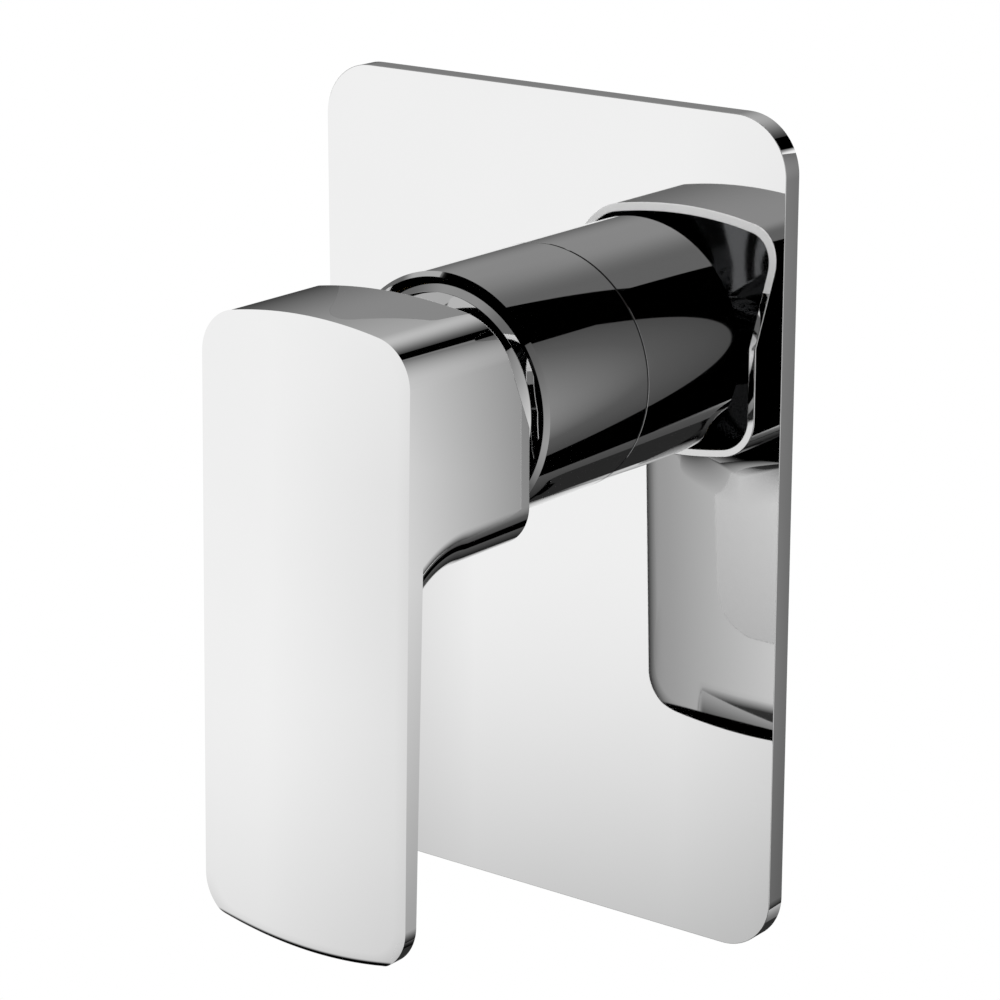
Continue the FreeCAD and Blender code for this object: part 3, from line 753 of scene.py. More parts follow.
@dataclass
class LeverHandle:
    """Hollow block with a hanging blade, one casting, with a socket for the stem inside."""

    half_width: float = 22.3
    top: float = 22.05
    block_bottom: float = -23.0
    blade_bottom: float = -89.1
    arch: float = 87.0
    corner: float = 8.1
    front_reach: float = 69.75
    front_lean: float = 1.427
    root_thickness: float = 4.2
    taper: float = 0.01402
    cove: float = 12.0
    pillow_width: float = 2.5
    pillow_drop: float = 0.1
    crest_share: float = 0.125
    tip_round: float = 1.6
    bevel_height: float = 3.2
    rim_reach: float = 37.8
    rim_slant: float = 23.6
    facet_start: float = 9.5
    rim_edge: float = 0.15
    wall: float = 1.5
    cavity_reach: float = 66.05
    tilt: float = 11.0
    pivot_reach: float = 28.0
    socket_start: float = 20.52
    socket_end: float = 38.3
    socket_radius: float = 8.5
    socket_half_width: float = 4.05
    socket_columns: int = 96
    flank_steps: int = 10
    facet_steps: int = 8
    shoulder_steps: int = 5
    tail_steps: int = 8
    corner_steps: int = 40
    upper_arch_steps: int = 30
    lower_arch_steps: int = 36
    fan_steps: int = 48
    cove_rows: int = 28
    middle_rows: int = 5
    flat_rows: int = 9
    bevel_rows: int = 5
    rim_steps: int = 4
    inset_step: float = 0.2
    inset_guards: tuple[float, float] = (2.56, 2.7)
    least_facing: float = 0.05
    border_share: float = 0.3
    crease_share: float = 0.5
    support_share: float = 0.25
    blade: ArchedOutline = field(init=False)
    block: ArchedOutline = field(init=False)

    def __post_init__(self) -> None:
        """Works out the two outlines from the sizes."""
        self.blade = ArchedOutline(self.half_width, self.top, self.blade_bottom, self.arch, self.corner)
        self.block = ArchedOutline(self.half_width, self.top, self.block_bottom, self.arch, self.corner)

    def front_plane(self, rise: Array) -> Array:
        """Reach of the leaning front plane."""
        return self.front_reach - rise * math.tan(math.radians(self.front_lean))

    def rear_plane(self, rise: Array) -> Array:
        """Reach of the blade's rear plane, closer to the front towards the lower end."""
        return self.front_plane(rise) - self.root_thickness - self.taper * rise

    def pillow(self, distance: Array) -> Array:
        """Fall of a face towards its edge, a wide soft rounding."""
        radius = (self.pillow_width ** 2 + self.pillow_drop ** 2) / (2 * self.pillow_drop)
        return round_fall(radius, self.pillow_width, distance)

    def crest(self) -> float:
        """Reach of the front where it starts to round into the lower edge."""
        return float(self.front_plane(self.blade_bottom)) - self.crest_share * self.pillow_drop

    def front(self, across: Array, rise: Array) -> Array:
        """Reach of the front face: the plane less its fall at the edges, rounded at the lower end.

        Args:
            across: Distances from the middle.
            rise: Heights.

        Returns:
            Reach of the face.
        """
        face = self.front_plane(rise) - self.pillow(self.blade.inset(across, rise))
        to_end = self.arch - np.hypot(across, rise - (self.blade_bottom + self.arch))
        rounded = self.crest() - round_fall(self.tip_round, self.tip_round, to_end)
        return np.where(to_end < self.tip_round, np.minimum(face, rounded), face)

    def rear(self, across: Array, rise: Array) -> Array:
        """Reach of the blade's rear face: the plane less its fall at the edges, bevelled at the lower end.

        Args:
            across: Distances from the middle.
            rise: Heights.

        Returns:
            Reach of the face.
        """
        face = self.rear_plane(rise) + self.pillow(self.blade.inset(across, rise))
        start = self.blade_bottom + self.bevel_height
        start_reach = float(self.rear_plane(start))
        slope = (self.crest() - self.tip_round - start_reach) / self.bevel_height
        return np.where(rise < start, np.maximum(face, start_reach + slope * (start - rise)), face)

    def rim(self, rise: Array) -> Array:
        """Reach of the rim, slanted back above the axis."""
        return self.rim_reach + np.maximum(rise, 0.0) * math.tan(math.radians(self.rim_slant))

    def half_path(self, side: Array, arch_steps: int, upper: bool) -> tuple[Array, Array]:
        """Right half of the blade's outline at one end: straight side, round corner and half the end arc.

        Args:
            side: Heights on the straight side, in order towards the end.
            arch_steps: Number of points on half the end arc.
            upper: Whether the upper end is meant.

        Returns:
            Points and outward normals.
        """
        turn = self.blade.turn
        angles = np.concatenate([np.linspace(0.0, turn, self.corner_steps),
                                 np.linspace(turn, math.pi / 2, arch_steps)[1:]])
        points, normals = self.blade.end_points(angles, upper)
        straight = np.stack([np.full_like(side, self.half_width), side], axis=-1)
        outward = np.tile([1.0, 0.0], (len(side), 1))
        return np.concatenate([straight, points]), np.concatenate([outward, normals])

    def upper_path(self) -> tuple[Array, Array]:
        """Outline above the block's lower corners, from the right side over the top to the left side.

        Returns:
            Points and outward normals.
        """
        side = np.concatenate([np.linspace(self.block.low, 0.0, self.flank_steps),
                               np.linspace(0.0, self.facet_start, self.facet_steps)[1:],
                               np.linspace(self.facet_start, self.blade.high, self.shoulder_steps)[1:-1],
                               [self.blade.high - SUPPORT_MM]])
        points, normals = self.half_path(side, self.upper_arch_steps, upper=True)
        return (np.concatenate([points, FLIP * points[-2::-1]]),
                np.concatenate([normals, FLIP * normals[-2::-1]]))

    def cove_sheet(self, feet: Array) -> tuple[Array, Array, Array]:
        """Hollow that carries the block's rounded lower edge on into the blade.

        The edge turns about a line that runs across, cove below the underside and cove behind the blade. A
        point at height h over the underside keeps its distance r = cove + h from that line: its rise is
        block_bottom - cove + r * cos(a) and its reach rear - cove + r * sin(a), up to sin(a) = cove / r.

        Args:
            feet: Points of the block's lower edge.

        Returns:
            Across, rise and reach, by row from the block to the blade.
        """
        radius = self.cove + feet[:, 1] - self.block_bottom
        angles = np.linspace(0.0, 1.0, self.cove_rows)[:, None] * np.arcsin(self.cove / radius)
        across = np.broadcast_to(feet[:, 0], angles.shape)
        rise = self.block_bottom - self.cove + radius * np.cos(angles)
        return across, rise, self.rear(across, rise) - self.cove + radius * np.sin(angles)

    def lower_path(self) -> tuple[Array, Array, Array, Array]:
        """Outline of the blade below the cove, from the left side round the tip to the right side.

        Returns:
            Points and outward normals of the blade's outline, then the points of the block's lower edge
            that face them and the normals there.
        """
        fan = np.concatenate([[0.0, SUPPORT_MM / self.corner],
                              np.linspace(0.0, self.block.turn, self.fan_steps)[1:]])
        corner_radius = self.cove + self.block.low - self.block_bottom
        cove_end = self.block_bottom - self.cove + math.sqrt(corner_radius ** 2 - self.cove ** 2)
        side = cove_end - self.corner * np.tan(fan)
        rest = np.linspace(side[-1], self.blade.low, self.tail_steps)[1:-1]
        side = np.concatenate([side, rest, [self.blade.low + SUPPORT_MM]])
        points, normals = self.half_path(side, self.lower_arch_steps, upper=False)
        below = points[len(fan):]
        on_arch = np.arctan2(self.block_bottom + self.arch - below[:, 1], below[:, 0])
        feet, foot_normals = self.block.end_points(np.concatenate([fan, on_arch]), upper=False)
        return tuple(np.concatenate([FLIP * half[:-1], half[::-1]])
                     for half in (points, normals, feet, foot_normals))

    def face_insets(self) -> Array:
        """Distances from the edge at which a face is sampled, closer together at the edge."""
        close = np.arange(0.0, self.pillow_width, self.inset_step)
        return np.concatenate([close, [self.pillow_width, *self.inset_guards]])

    def front_grid(self, path: Array, normal: Array) -> Array:
        """Front face: insets of the outline, then straight in to the upright middle line.

        Args:
            path: Points of the whole outline.
            normal: Outward normals there.

        Returns:
            Grid of points.
        """
        insets = self.face_insets()[:, None, None]
        rings = path[None] - insets * normal[None]
        middle = np.zeros_like(path)
        middle[:, 1] = np.clip(path[:, 1], self.blade_bottom + self.half_width, self.top - self.half_width)
        shares = np.linspace(0.0, 1.0, self.middle_rows)[1:, None, None]
        inner = rings[-1] + shares * (middle - rings[-1])
        rings = np.concatenate([rings, inner])
        return bench_points(rings[..., 0], rings[..., 1], self.front(rings[..., 0], rings[..., 1]))

    def rear_grid(self, feet: Array, path: Array, normal: Array) -> Array:
        """Rear face of the blade: straight lines from the end of the cove out to the blade's outline.

        Each line has even rows to the crease where the bevel starts, rows on the bevel, and close rows in
        the rounded border, whose spacing is stretched where a line meets the outline at a slant.

        Args:
            feet: Points at the end of the cove.
            path: Points of the blade's outline that they run to.
            normal: Outward normals of the blade's outline.

        Returns:
            Grid of points.
        """
        span = path - feet
        length = np.linalg.norm(span, axis=1)
        along = span / np.maximum(length, LEAST_LENGTH)[:, None]
        facing = np.maximum(np.sum(along * normal, axis=1), self.least_facing)
        border = np.minimum(self.face_insets()[::-1][:, None] / facing, self.border_share * length)
        border = np.minimum(border, border[:1] * np.linspace(1.0, 0.0, len(border))[:, None] ** 0.5)
        edge_start = length - border[0]
        fall = np.minimum(along[:, 1], -LEAST_FALL)
        to_bevel = (self.blade_bottom + self.bevel_height - feet[:, 1]) / fall
        crease = np.clip(to_bevel, self.crease_share * edge_start, edge_start)
        flat = np.linspace(0.0, 1.0, self.flat_rows)[:, None] * crease
        sloped = crease + np.linspace(0.0, 1.0, self.bevel_rows)[1:-1, None] * (edge_start - crease)
        distance = np.concatenate([flat, sloped, length - border])
        points = feet[None] + distance[..., None] * along[None]
        return bench_points(points[..., 0], points[..., 1], self.rear(points[..., 0], points[..., 1]))

    def wall_grid(self, path: Array, start: Array, end: Array) -> Array:
        """Wall square to the wall plane along a path, with close rows beside its two edges.

        Args:
            path: Points of the path.
            start: Reach of the wall's first edge at each point.
            end: Reach of its last edge.

        Returns:
            Grid of points.
        """
        height = end - start
        near = np.sign(height) * np.minimum(SUPPORT_MM, self.support_share * np.abs(height))
        rows = np.stack([start, start + near, end - near, end])
        return bench_points(path[None, :, 0], path[None, :, 1], rows)

    def rim_grid(self, path: Array, normal: Array) -> Array:
        """Rim from its outer edge to its inner one.

        Args:
            path: Points of the block's outline.
            normal: Outward normals there.

        Returns:
            Grid of points.
        """
        edge, near = self.rim_edge, SUPPORT_MM
        angles = quarter(self.rim_steps)
        section = [(edge * (1 - math.cos(a)), edge * (1 - math.sin(a))) for a in angles]
        section += [(edge + near, 0.0), (self.wall - edge - near, 0.0)]
        section += [(self.wall - edge * (1 - math.sin(a)), edge * (1 - math.cos(a))) for a in angles]
        rows = []
        for inset, depth in section:
            ring = path - inset * normal
            rows.append(bench_points(ring[:, 0], ring[:, 1], self.rim(ring[:, 1]) + depth))
        return np.stack(rows)

    def cavity_grid(self, path: Array, normal: Array) -> Array:
        """Cavity wall from the rim's inner edge to the floor, and the floor to its middle.

        Args:
            path: Points of the block's outline.
            normal: Outward normals there.

        Returns:
            Grid of points.
        """
        ring = path - self.wall * normal
        start = self.rim(ring[:, 1]) + self.rim_edge
        floor = np.full_like(start, self.cavity_reach)
        reaches = np.stack([start, floor, floor])
        shares = np.array([1.0, 1.0, 0.0])[:, None]
        return bench_points(shares * ring[:, 0], shares * ring[:, 1], reaches)

    def build(self, finish: bpy.types.Material, inside: bpy.types.Material,
              facet: bpy.types.Material) -> bpy.types.Object:
        """Joins the faces and walls of the casting.

        Args:
            finish: Material of the handle.
            inside: Material of the cavity, darkened as painted shade.
            facet: Material of the slanted part of the rim, pale white as a painted reflection.

        Returns:
            The handle.
        """
        upper, upper_normal = self.upper_path()
        lower, lower_normal, feet, foot_normal = self.lower_path()
        across, rise, reach = self.cove_sheet(feet)
        cove_end = np.stack([across[-1], rise[-1]], axis=-1)
        flank = np.stack([across[:-1, -1], rise[:-1, -1]], axis=-1)
        flank_normal = np.tile([1.0, 0.0], (len(flank), 1))
        edge = np.concatenate([FLIP * flank, lower, flank[::-1]])
        edge_normal = np.concatenate([FLIP * flank_normal, lower_normal, flank_normal])
        edge_rear = np.concatenate([reach[:-1, -1], self.rear(lower[:, 0], lower[:, 1]), reach[-2::-1, -1]])
        whole = np.concatenate([upper, edge[1:-1]])
        whole_normal = np.concatenate([upper_normal, edge_normal[1:-1]])
        block = np.concatenate([upper, feet[1:-1]])
        block_normal = np.concatenate([upper_normal, foot_normal[1:-1]])
        upper_front = self.front(upper[:, 0], upper[:, 1])
        waist = np.full(len(upper), reach[0, -1])
        # The slanted rim above facet_start gets the pale white of the painted reflection.
        facet_quads = np.minimum(block[:, 1], np.roll(block[:, 1], -1)) > self.facet_start - SUPPORT_MM
        skin = Skin("lever", finish, inside, facet)
        skin.add(self.front_grid(whole, whole_normal))
        skin.add(self.wall_grid(upper, upper_front, waist), wrap=False)
        skin.add(self.wall_grid(edge, self.front(edge[:, 0], edge[:, 1]), edge_rear), wrap=False)
        skin.add(bench_points(across, rise, reach), wrap=False)
        skin.add(self.rear_grid(cove_end, lower, lower_normal), wrap=False)
        skin.add(self.wall_grid(block, np.concatenate([waist, reach[0, 1:-1]]),
                                self.rim(block[:, 1]) + self.rim_edge))
        skin.add(self.rim_grid(block, block_normal),
                 finish=np.where(facet_quads, LeverDress.FACET, LeverDress.OUTSIDE))
        skin.add(self.cavity_grid(block, block_normal), finish=LeverDress.CAVITY)
        return skin.build(Body.LEVER, "chrome_lever", "lever_handle")

    def build_socket(self, finish: bpy.types.Material) -> bpy.types.Object:
        """Round boss inside the block with a square socket for the stem, tilted with the stem.

        Args:
            finish: Material of the boss.

        Returns:
            The boss.
        """
        angles = np.linspace(0.0, math.tau, self.socket_columns, endpoint=False)
        circle = self.socket_radius * np.stack([np.cos(angles), np.sin(angles)])
        largest = np.maximum(np.abs(np.cos(angles)), np.abs(np.sin(angles)))
        square = self.socket_half_width * np.stack([np.cos(angles), np.sin(angles)]) / largest
        tilt = math.radians(self.tilt)
        rows = []
        start, end = self.socket_start, self.socket_end
        for ring, along in ((square, start), (circle, start), (circle, end), (square, end), (square, start)):
            rise = ring[1] * math.cos(tilt) - along * math.sin(tilt)
            reach = self.pivot_reach + ring[1] * math.sin(tilt) + along * math.cos(tilt)
            rows.append(bench_points(ring[0], rise, reach))
        skin = Skin("stem_socket", finish)
        skin.add(np.stack(rows))
        return skin.build(Body.LEVER, "chrome_lever")


@dataclass
class IndexPlug:
    """Moulded plug in the underside of the lever's block, slightly domed."""

    radius: float = 2.55
    crown: float = 0.16
    skirt: float = 0.9
    columns: int = 64
    rings: int = 8

    def build(self, lever: LeverHandle, finish: bpy.types.Material) -> bpy.types.Object:
        """Lays a domed disc on the arched underside of the block.

        Its drop below the underside is crown * (1 - (r / radius)^4), so its rim is round and flush.

        Args:
            lever: Lever that holds the plug.
            finish: Material of the plug.

        Returns:
            The plug.
        """
        low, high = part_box("index_plug")
        centre_reach = -(low.y + high.y) / 2 / MM
        angles = np.linspace(0.0, math.tau, self.columns, endpoint=False)
        share = np.concatenate([[0.0, 1.0], np.sin(quarter(self.rings))[::-1]])[:, None]
        across = self.radius * share * np.cos(angles)
        reach = centre_reach + self.radius * share * np.sin(angles)
        arch_centre = lever.block_bottom + lever.arch
        underside = arch_centre - np.sqrt(lever.arch ** 2 - across ** 2)
        rise = underside - self.crown * (1 - share ** 4)
        # The first two rows are the plug's flat inner end.
        rise[:2] = underside[:2] + self.skirt
        skin = Skin("plug", finish)
        skin.add(bench_points(across, rise, reach))
        return skin.build(Body.LEVER, "grey_plastic", "index_plug")


@dataclass
class ValveWorks:
    """Body, seals and cartridge: pieces of the frame that keep their shape and get their finish here."""

    finishes: dict[str, Finish] = field(default_factory=lambda: {
        "cast_brass": CAST_BRASS,
        "machined_brass": TURNED_BRASS,
        "steel": GROUND_STEEL,
        "alumina": ALUMINA,
        "white_plastic": WHITE_ACETAL,
        "grey_plastic": GREY_NYLON,
        "red_plastic": RED_ACETAL,
        "black_rubber": BLACK_NITRILE,
        "foam_seal": FOAM,
    })

    def dress(self, frame: dict[str, Any]) -> dict[str, bpy.types.Material]:
        """Gives every node of the frame the finish of its slot.

        Args:
            frame: The loaded frame.

        Returns:
            The materials by slot.
        """
        materials = {slot: finish.material() for slot, finish in self.finishes.items()}
        for part in frame["record"]["subparts"]:
            material = materials.get(part["material_slot"])
            if material is None:
                continue
            mesh = frame["nodes"][part["node"]].data
            mesh.materials.clear()
            mesh.materials.append(material)
            LOG.info("%s: %s", part["node"], material.name)
        return materials


def hang_card(name: str, points: Array, shade: Array, cover: Array) -> bpy.types.Object:
    """Hangs a glowing card in the studio that shows only in reflections.

    Args:
        name: Name of the card.
        points: Grid of its points, in metres.
        shade: Brightness at each point, where 1 is white.
        cover: How much of the card is there at each point, 0 where it is clear.

    Returns:
        The card.
    """
    rows, columns = shade.shape
    index = np.arange(rows * columns).reshape(rows, columns)
    quads = np.stack([index[:-1, :-1], index[:-1, 1:], index[1:, 1:], index[1:, :-1]], axis=-1)
    mesh = bpy.data.meshes.new(name)
    mesh.from_pydata(points.reshape(-1, 3), [], quads.reshape(-1, 4))
    for label, values in (("shade", shade), ("cover", cover)):
        attribute = mesh.attributes.new(label, "FLOAT", "POINT")
        attribute.data.foreach_set("value", values.astype(np.float32).ravel())
    # A card glows in its own shade and is clear where its cover ends.
    made = bpy.data.materials.new(name)
    made.use_nodes = True
    tree = made.node_tree
    tree.nodes.clear()
    level = add_node(tree, "ShaderNodeAttribute", {"attribute_name": "shade"})
    there = add_node(tree, "ShaderNodeAttribute", {"attribute_name": "cover"})
    glow = add_node(tree, "ShaderNodeEmission", {}, {"Color": level.outputs["Fac"]})
    clear = add_node(tree, "ShaderNodeBsdfTransparent")
    mix = add_node(tree, "ShaderNodeMixShader", {},
                   {"Fac": there.outputs["Fac"], 1: clear.outputs["BSDF"], 2: glow.outputs["Emission"]})
    add_node(tree, "ShaderNodeOutputMaterial", {}, {"Surface": mix.outputs["Shader"]})
    mesh.materials.append(made)
    card = bpy.data.objects.new(name, mesh)
    bpy.context.scene.collection.objects.link(card)
    card.visible_camera = False
    card.visible_diffuse = False
    card.visible_shadow = False
    LOG.info("card %s", name)
    return card


@dataclass(frozen=True)
class SkyCard:
    """Curved card, part of a sphere round the object.

    Azimuth 0 is straight out of the wall and 90 to the right. The shade runs from the lower to the upper
    border, and each border can be soft over some degrees: left, right, lower, upper. At a share p of that
    width the cover is p^2 * (3 - 2 * p).
    """

    name: str
    azimuth: tuple[float, float]
    elevation: tuple[float, float]
    shade: tuple[float, float]
    soft: tuple[float, float, float, float] = (0.0, 0.0, 0.0, 0.0)
    radius: float = 0.55
    steps: int = 73

    def build(self) -> bpy.types.Object:
        """Lays the card on its sphere: (sin a cos e, -cos a cos e, sin e) at azimuth a and elevation e.

        Returns:
            The card.
        """
        left, right = self.azimuth
        low, high = self.elevation
        turn, lift = np.meshgrid(np.linspace(left, right, self.steps), np.linspace(low, high, self.steps))
        share = (lift - low) / (high - low)
        shade = self.shade[0] + share * (self.shade[1] - self.shade[0])
        cover = np.ones_like(shade)
        for distance, width in zip((turn - left, right - turn, lift - low, high - lift), self.soft):
            if width > 0.0:
                part = np.clip(distance / width, 0.0, 1.0)
                cover = cover * part * part * (3.0 - 2.0 * part)
        a, e = np.radians(turn), np.radians(lift)
        points = np.stack([np.sin(a) * np.cos(e), -np.cos(a) * np.cos(e), np.sin(e)], axis=-1)
        return hang_card(self.name, self.radius * points, shade, cover)


@dataclass(frozen=True)
class FlatCard:
    """Flat card parallel to the wall, with straight borders.

    Each row gives a height, the left and right border there and the shades at the two borders.
    """

    name: str
    reach: float
    rows: tuple[tuple[float, float, float, float, float], ...]
    cover: tuple[float, float] = (1.0, 1.0)
    upper_fade: float = 0.0
    row_steps: int = 13
    columns: int = 41

    def build(self) -> bpy.types.Object:
        """Lays the card in its plane, straight from row to row and from border to border.

        Near the upper border its cover falls evenly to nothing over the height of the fade.

        Returns:
            The card.
        """
        rows = np.array(self.rows)
        spans = zip(rows[:-1, 0], rows[1:, 0])
        heights = np.unique(np.concatenate([np.linspace(low, high, self.row_steps) for low, high in spans]))
        left, right, dark, light = (np.interp(heights, rows[:, 0], values)[:, None] for values in rows.T[1:])
        share = np.linspace(0.0, 1.0, self.columns)[None]
        across = left + share * (right - left)
        shade = dark + share * (light - dark)
        cover = np.broadcast_to(self.cover[0] + share * (self.cover[1] - self.cover[0]), shade.shape)
        if self.upper_fade > 0.0:
            cover = cover * np.clip((heights[-1] - heights) / self.upper_fade, 0.0, 1.0)[:, None]
        points = bench_points(across, heights[:, None], np.array(self.reach))
        return hang_card(self.name, points, shade, cover)


@dataclass
class Studio:
    """White surroundings, a soft lamp, a pale floor far below and the cards that the chrome mirrors."""

    sky: tuple[SkyCard, ...] = (
        SkyCard("lower_falloff", (-180.0, 180.0), (-89.0, -19.5), (0.0, 0.0), (0.0, 0.0, 0.0, 36.0), 0.52),
        SkyCard("upper_front", (-120.0, 75.0), (-0.5, 89.0), (0.15, 0.15), (0.0, 0.0, 1.5, 0.0)),
        SkyCard("upper_glow", (-64.0, 4.0), (-2.0, 54.0), (0.31, 0.31), (24.0, 24.0, 24.0, 24.0), 0.54),
        SkyCard("overhead", (-66.0, 60.0), (44.0, 89.0), (0.0, 0.0), (0.5, 4.0, 8.0, 0.0), 0.53),
        SkyCard("upper_left", (-125.0, -66.2), (26.0, 76.0), (0.45, 0.45), (12.0, 0.5, 8.0, 8.0), 0.53),
        SkyCard("overhead_panel", (-70.0, 16.0), (61.0, 89.0), (0.52, 0.52), (0.0, 2.0, 1.0, 0.0), 0.525),
        SkyCard("upper_back", (-212.0, -100.0), (-0.5, 60.0), (0.03, 0.78), (0.0, 8.0, 1.0, 6.0)),
        SkyCard("back_corner", (128.0, 150.0), (20.0, 80.0), (0.2, 0.2), (4.0, 0.0, 4.0, 4.0)),
        SkyCard("back_fade", (148.0, 204.0), (0.0, 74.0), (0.0, 0.0), (0.0, 58.0, 0.0, 0.0), 0.53),
        SkyCard("back_gap", (146.0, 157.5), (0.0, 74.0), (0.0, 0.0), (0.5, 0.5, 0.0, 0.0), 0.525),
        SkyCard("front_low_dark", (-28.0, 22.0), (-62.0, -29.0), (0.0, 0.0), (8.0, 10.0, 0.0, 6.0), 0.515),
        SkyCard("right_side", (62.0, 128.0), (-30.0, 60.0), (0.95, 0.15), (4.0, 4.0, 4.0, 4.0)),
    )
    flat: tuple[FlatCard, ...] = (
        FlatCard("front_flag", 120.0, (
            (-400.0, -160.0, 85.0, 0.0, 0.0), (-132.0, 18.9, 85.0, 0.0, 0.0), (-91.4, 43.5, 86.0, 0.0, 0.0),
            (-71.0, 43.5, 87.0, 0.0, 0.0), (75.0, 42.4, 89.2, 0.0, 0.0), (83.6, 43.8, 89.0, 0.0, 0.0),
            (97.0, 46.6, 98.9, 0.0, 0.0), (138.0, 18.9, 129.0, 0.0, 0.0), (400.0, -160.0, 323.0, 0.0, 0.0))),
        FlatCard("front_right_dim", 121.0, (
            (-400.0, 84.0, 110.0, 0.07, 0.12), (84.0, 84.0, 110.0, 0.07, 0.12),
            (110.0, 84.0, 110.0, 0.07, 0.1))),
        FlatCard("front_right_rise", 121.0, (
            (-400.0, 110.0, 150.0, 0.12, 0.44), (-90.0, 110.0, 150.0, 0.12, 0.44),
            (0.0, 110.0, 150.0, 0.12, 0.32),
            (60.0, 110.0, 150.0, 0.12, 0.25), (160.0, 110.0, 150.0, 0.1, 0.2))),
        FlatCard("front_far_right", 121.0, (
            (-400.0, 150.0, 300.0, 0.44, 0.85), (-90.0, 150.0, 300.0, 0.44, 0.85),
            (0.0, 150.0, 300.0, 0.32, 0.8),
            (60.0, 150.0, 300.0, 0.25, 0.7), (320.0, 150.0, 300.0, 0.2, 0.6))),
        FlatCard("back_right_card", -120.0, (
            (-400.0, 112.0, 200.0, 0.0, 0.1), (-230.0, 112.0, 200.0, 0.0, 0.3),
            (-174.0, 112.0, 200.0, 0.0, 0.6), (-98.0, 112.0, 200.0, 0.0, 1.0),
            (-70.0, 117.0, 200.0, 0.06, 0.97), (-30.0, 123.0, 200.0, 0.15, 0.76),
            (0.0, 123.0, 200.0, 0.16, 0.7), (150.0, 123.0, 200.0, 0.17, 0.65))),
        FlatCard("back_left_dim", -120.0, (
            (-420.0, -215.0, -152.0, 0.0, 0.27), (-230.0, -215.0, -152.0, 0.0, 0.43),
            (-90.0, -215.0, -152.0, 0.0, 0.43))),
        FlatCard("back_left_rise", -120.0, (
            (-420.0, -152.0, -100.0, 0.0, 0.0), (-235.0, -152.0, -100.0, 0.04, 0.04),
            (-195.0, -152.0, -100.0, 0.43, 0.91), (-90.0, -152.0, -100.0, 0.43, 0.94))),
        FlatCard("back_low_card", -120.0, (
            (-420.0, -100.0, 60.0, 0.03, 0.03), (-170.0, -100.0, 60.0, 0.03, 0.03))),
        FlatCard("front_veil", 119.0, (
            (-200.0, -50.0, 42.0, 0.2, 0.2), (40.0, -50.0, 42.0, 0.2, 0.2)), (0.0, 0.5), 60.0),
        FlatCard("front_left_veil", 121.0, (
            (-200.0, -160.0, -108.0, 0.4, 0.4), (-55.0, -160.0, -108.0, 0.4, 0.4)), (0.6, 0.0)),
    )
    ambient: float = 0.6
    lamp_place: tuple[float, float, float] = (-0.15, 0.62, 0.8)
    lamp_width: float = 0.9
    lamp_watts: float = 6.5
    floor_drop: float = 0.62
    floor_half_width: float = 6.0

    def shown_white(self, tree: bpy.types.NodeTree) -> bpy.types.NodeSocket:
        """Adds a switch that is 1 for rays from the camera, from mirrors and through glass, else 0.

        Args:
            tree: Node tree that takes the nodes.

        Returns:
            Socket of the switch.
        """
        path = add_node(tree, "ShaderNodeLightPath")
        switch = path.outputs["Is Camera Ray"]
        for kind in ("Is Glossy Ray", "Is Transmission Ray"):
            switch = maths(tree, "MAXIMUM", switch, path.outputs[kind])
        return switch

    def build_world(self) -> None:
        """White for the camera and in reflections, a plain even light on everything else."""
        world = bpy.data.worlds.new("studio")
        bpy.context.scene.world = world
        world.use_nodes = True
        tree = world.node_tree
        level = add_node(tree, "ShaderNodeMapRange", {"To Min": self.ambient, "To Max": 1.0},
                         {"Value": self.shown_white(tree)})
        background = tree.nodes["Background"]
        background.inputs["Color"].default_value = WHITE
        tree.links.new(level.outputs["Result"], background.inputs["Strength"])

    def build_lamp(self) -> bpy.types.Object:
        """Large soft lamp above and behind, turned to the tap.

        Returns:
            The lamp.
        """
        data = bpy.data.lights.new("soft_lamp", "AREA")
        data.energy = self.lamp_watts
        data.size = self.lamp_width
        lamp = bpy.data.objects.new("soft_lamp", data)
        lamp.location = self.lamp_place
        lamp.rotation_mode = "QUATERNION"
        lamp.rotation_quaternion = (-Vector(self.lamp_place)).to_track_quat("-Z", "Y")
        lamp.visible_glossy = False
        bpy.context.scene.collection.objects.link(lamp)
        return lamp

    def build_floor(self) -> bpy.types.Object:
        """Pale floor far below the tap, white to the camera.

        Returns:
            The floor.
        """
        half, rise = self.floor_half_width, -self.floor_drop
        corners = [(-half, -half, rise), (half, -half, rise), (half, half, rise), (-half, half, rise)]
        mesh = bpy.data.meshes.new("floor")
        mesh.from_pydata(corners, [], [(0, 1, 2, 3)])
        # Matt white to light that scatters, and glowing white to the camera and in mirrors.
        made = bpy.data.materials.new("pale_floor")
        made.use_nodes = True
        tree = made.node_tree
        tree.nodes.clear()
        matt = add_node(tree, "ShaderNodeBsdfDiffuse", {"Color": linear_colour("F2F2F2")})
        white = add_node(tree, "ShaderNodeEmission", {"Color": WHITE})
        mix = add_node(tree, "ShaderNodeMixShader", {},
                       {"Fac": self.shown_white(tree), 1: matt.outputs["BSDF"],
                        2: white.outputs["Emission"]})
        add_node(tree, "ShaderNodeOutputMaterial", {}, {"Surface": mix.outputs["Shader"]})
        mesh.materials.append(made)
        floor = bpy.data.objects.new("floor", mesh)
        bpy.context.scene.collection.objects.link(floor)
        return floor

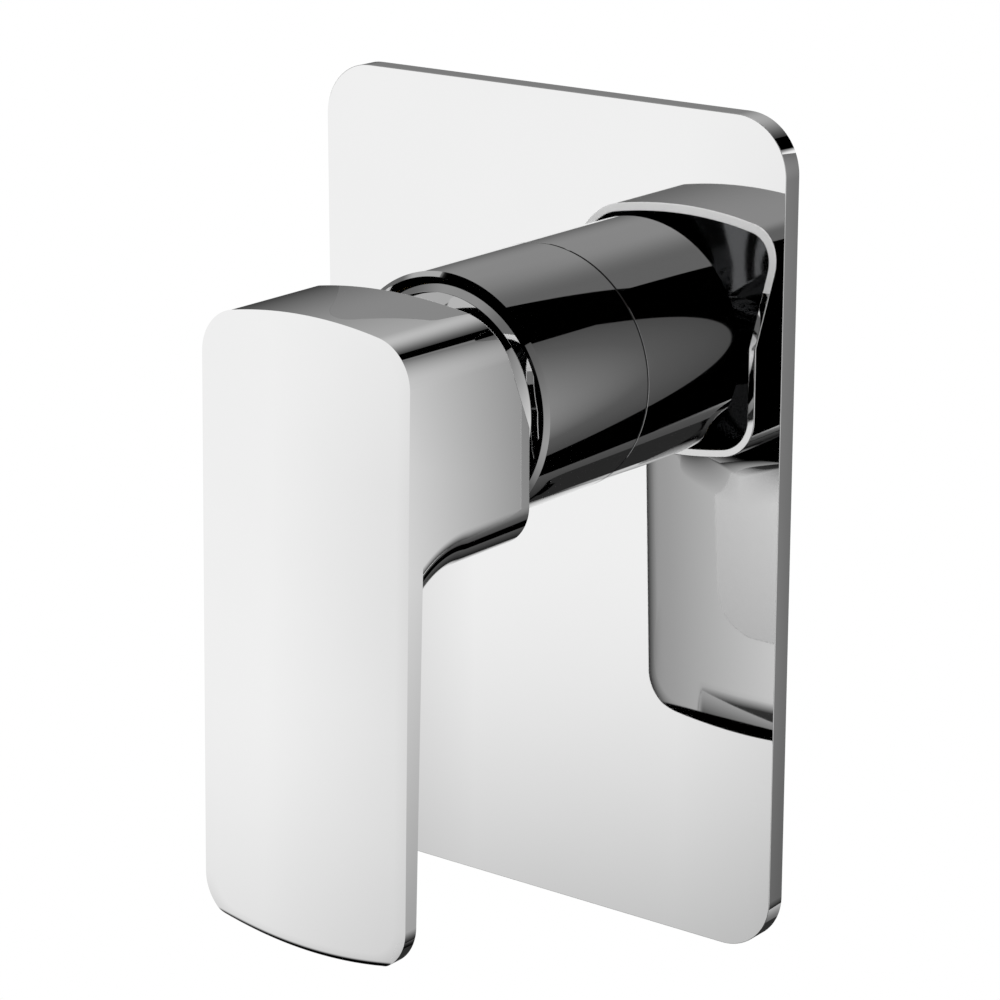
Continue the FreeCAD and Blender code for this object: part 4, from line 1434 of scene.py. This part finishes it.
    def build(self) -> None:
        """Builds the world, the lamp, the floor and the cards."""
        self.build_world()
        self.build_lamp()
        self.build_floor()
        for card in self.sky + self.flat:
            card.build()


@dataclass
class PhotoCamera:
    """Camera at the viewing angle of the photograph."""

    place_mm: tuple[float, float, float] = (366.448, -490.902, 157.331)
    azimuth: float = 37.7200
    elevation: float = 16.6256
    focal_px: float = 3537.31
    image_px: float = 1000.0
    sensor_mm: float = 36.0
    clip_m: tuple[float, float] = (0.01, 20.0)

    def build(self) -> bpy.types.Object:
        """Builds the camera and makes it the scene's own.

        Returns:
            The camera.
        """
        data = bpy.data.cameras.new("photo_camera")
        data.sensor_width = self.sensor_mm
        data.lens = self.focal_px * self.sensor_mm / self.image_px
        data.clip_start, data.clip_end = self.clip_m
        camera = bpy.data.objects.new("photo_camera", data)
        bpy.context.scene.collection.objects.link(camera)
        turn, lift = math.radians(self.azimuth), math.radians(self.elevation)
        back = Vector((math.sin(turn) * math.cos(lift), -math.cos(turn) * math.cos(lift), math.sin(lift)))
        camera.location = Vector(self.place_mm) * MM
        camera.rotation_mode = "QUATERNION"
        camera.rotation_quaternion = (-back).to_track_quat("-Z", "Y")
        bpy.context.scene.camera = camera
        return camera


def main() -> None:
    """Builds the tap piece by piece, then its studio and camera."""
    logging.basicConfig(level=logging.INFO, format="%(name)s: %(message)s")
    for leftover in list(bpy.data.objects):
        bpy.data.objects.remove(leftover)
    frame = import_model()
    bpy.context.scene.view_settings.view_transform = "Standard"
    materials = ValveWorks().dress(frame)
    CoverPlate().build(CHROME_PLATE.material(), PRESSED_STEEL.material())
    sleeve = BarrelSleeve()
    sleeve.build(CHROME_SLEEVE.material())
    # A thin black ring at the sleeve's foot: painted shade along the seam.
    sleeve.build_seam_shade_ring(materials["black_rubber"])
    DomeCap().build(CHROME_DOME.material())
    lever = LeverHandle()
    # The cavity and the boss inside it get painted shade: a dark metal that makes the recess read dark.
    cavity_shade = PAINTED_SHADE_CAVITY.material()
    lever.build(CHROME_LEVER.material(), cavity_shade, PAINTED_REFLECTION_WHITE.material())
    lever.build_socket(cavity_shade)
    IndexPlug().build(lever, materials["grey_plastic"])
    Studio().build()
    PhotoCamera().build()


if __name__ == "__main__":
    main()
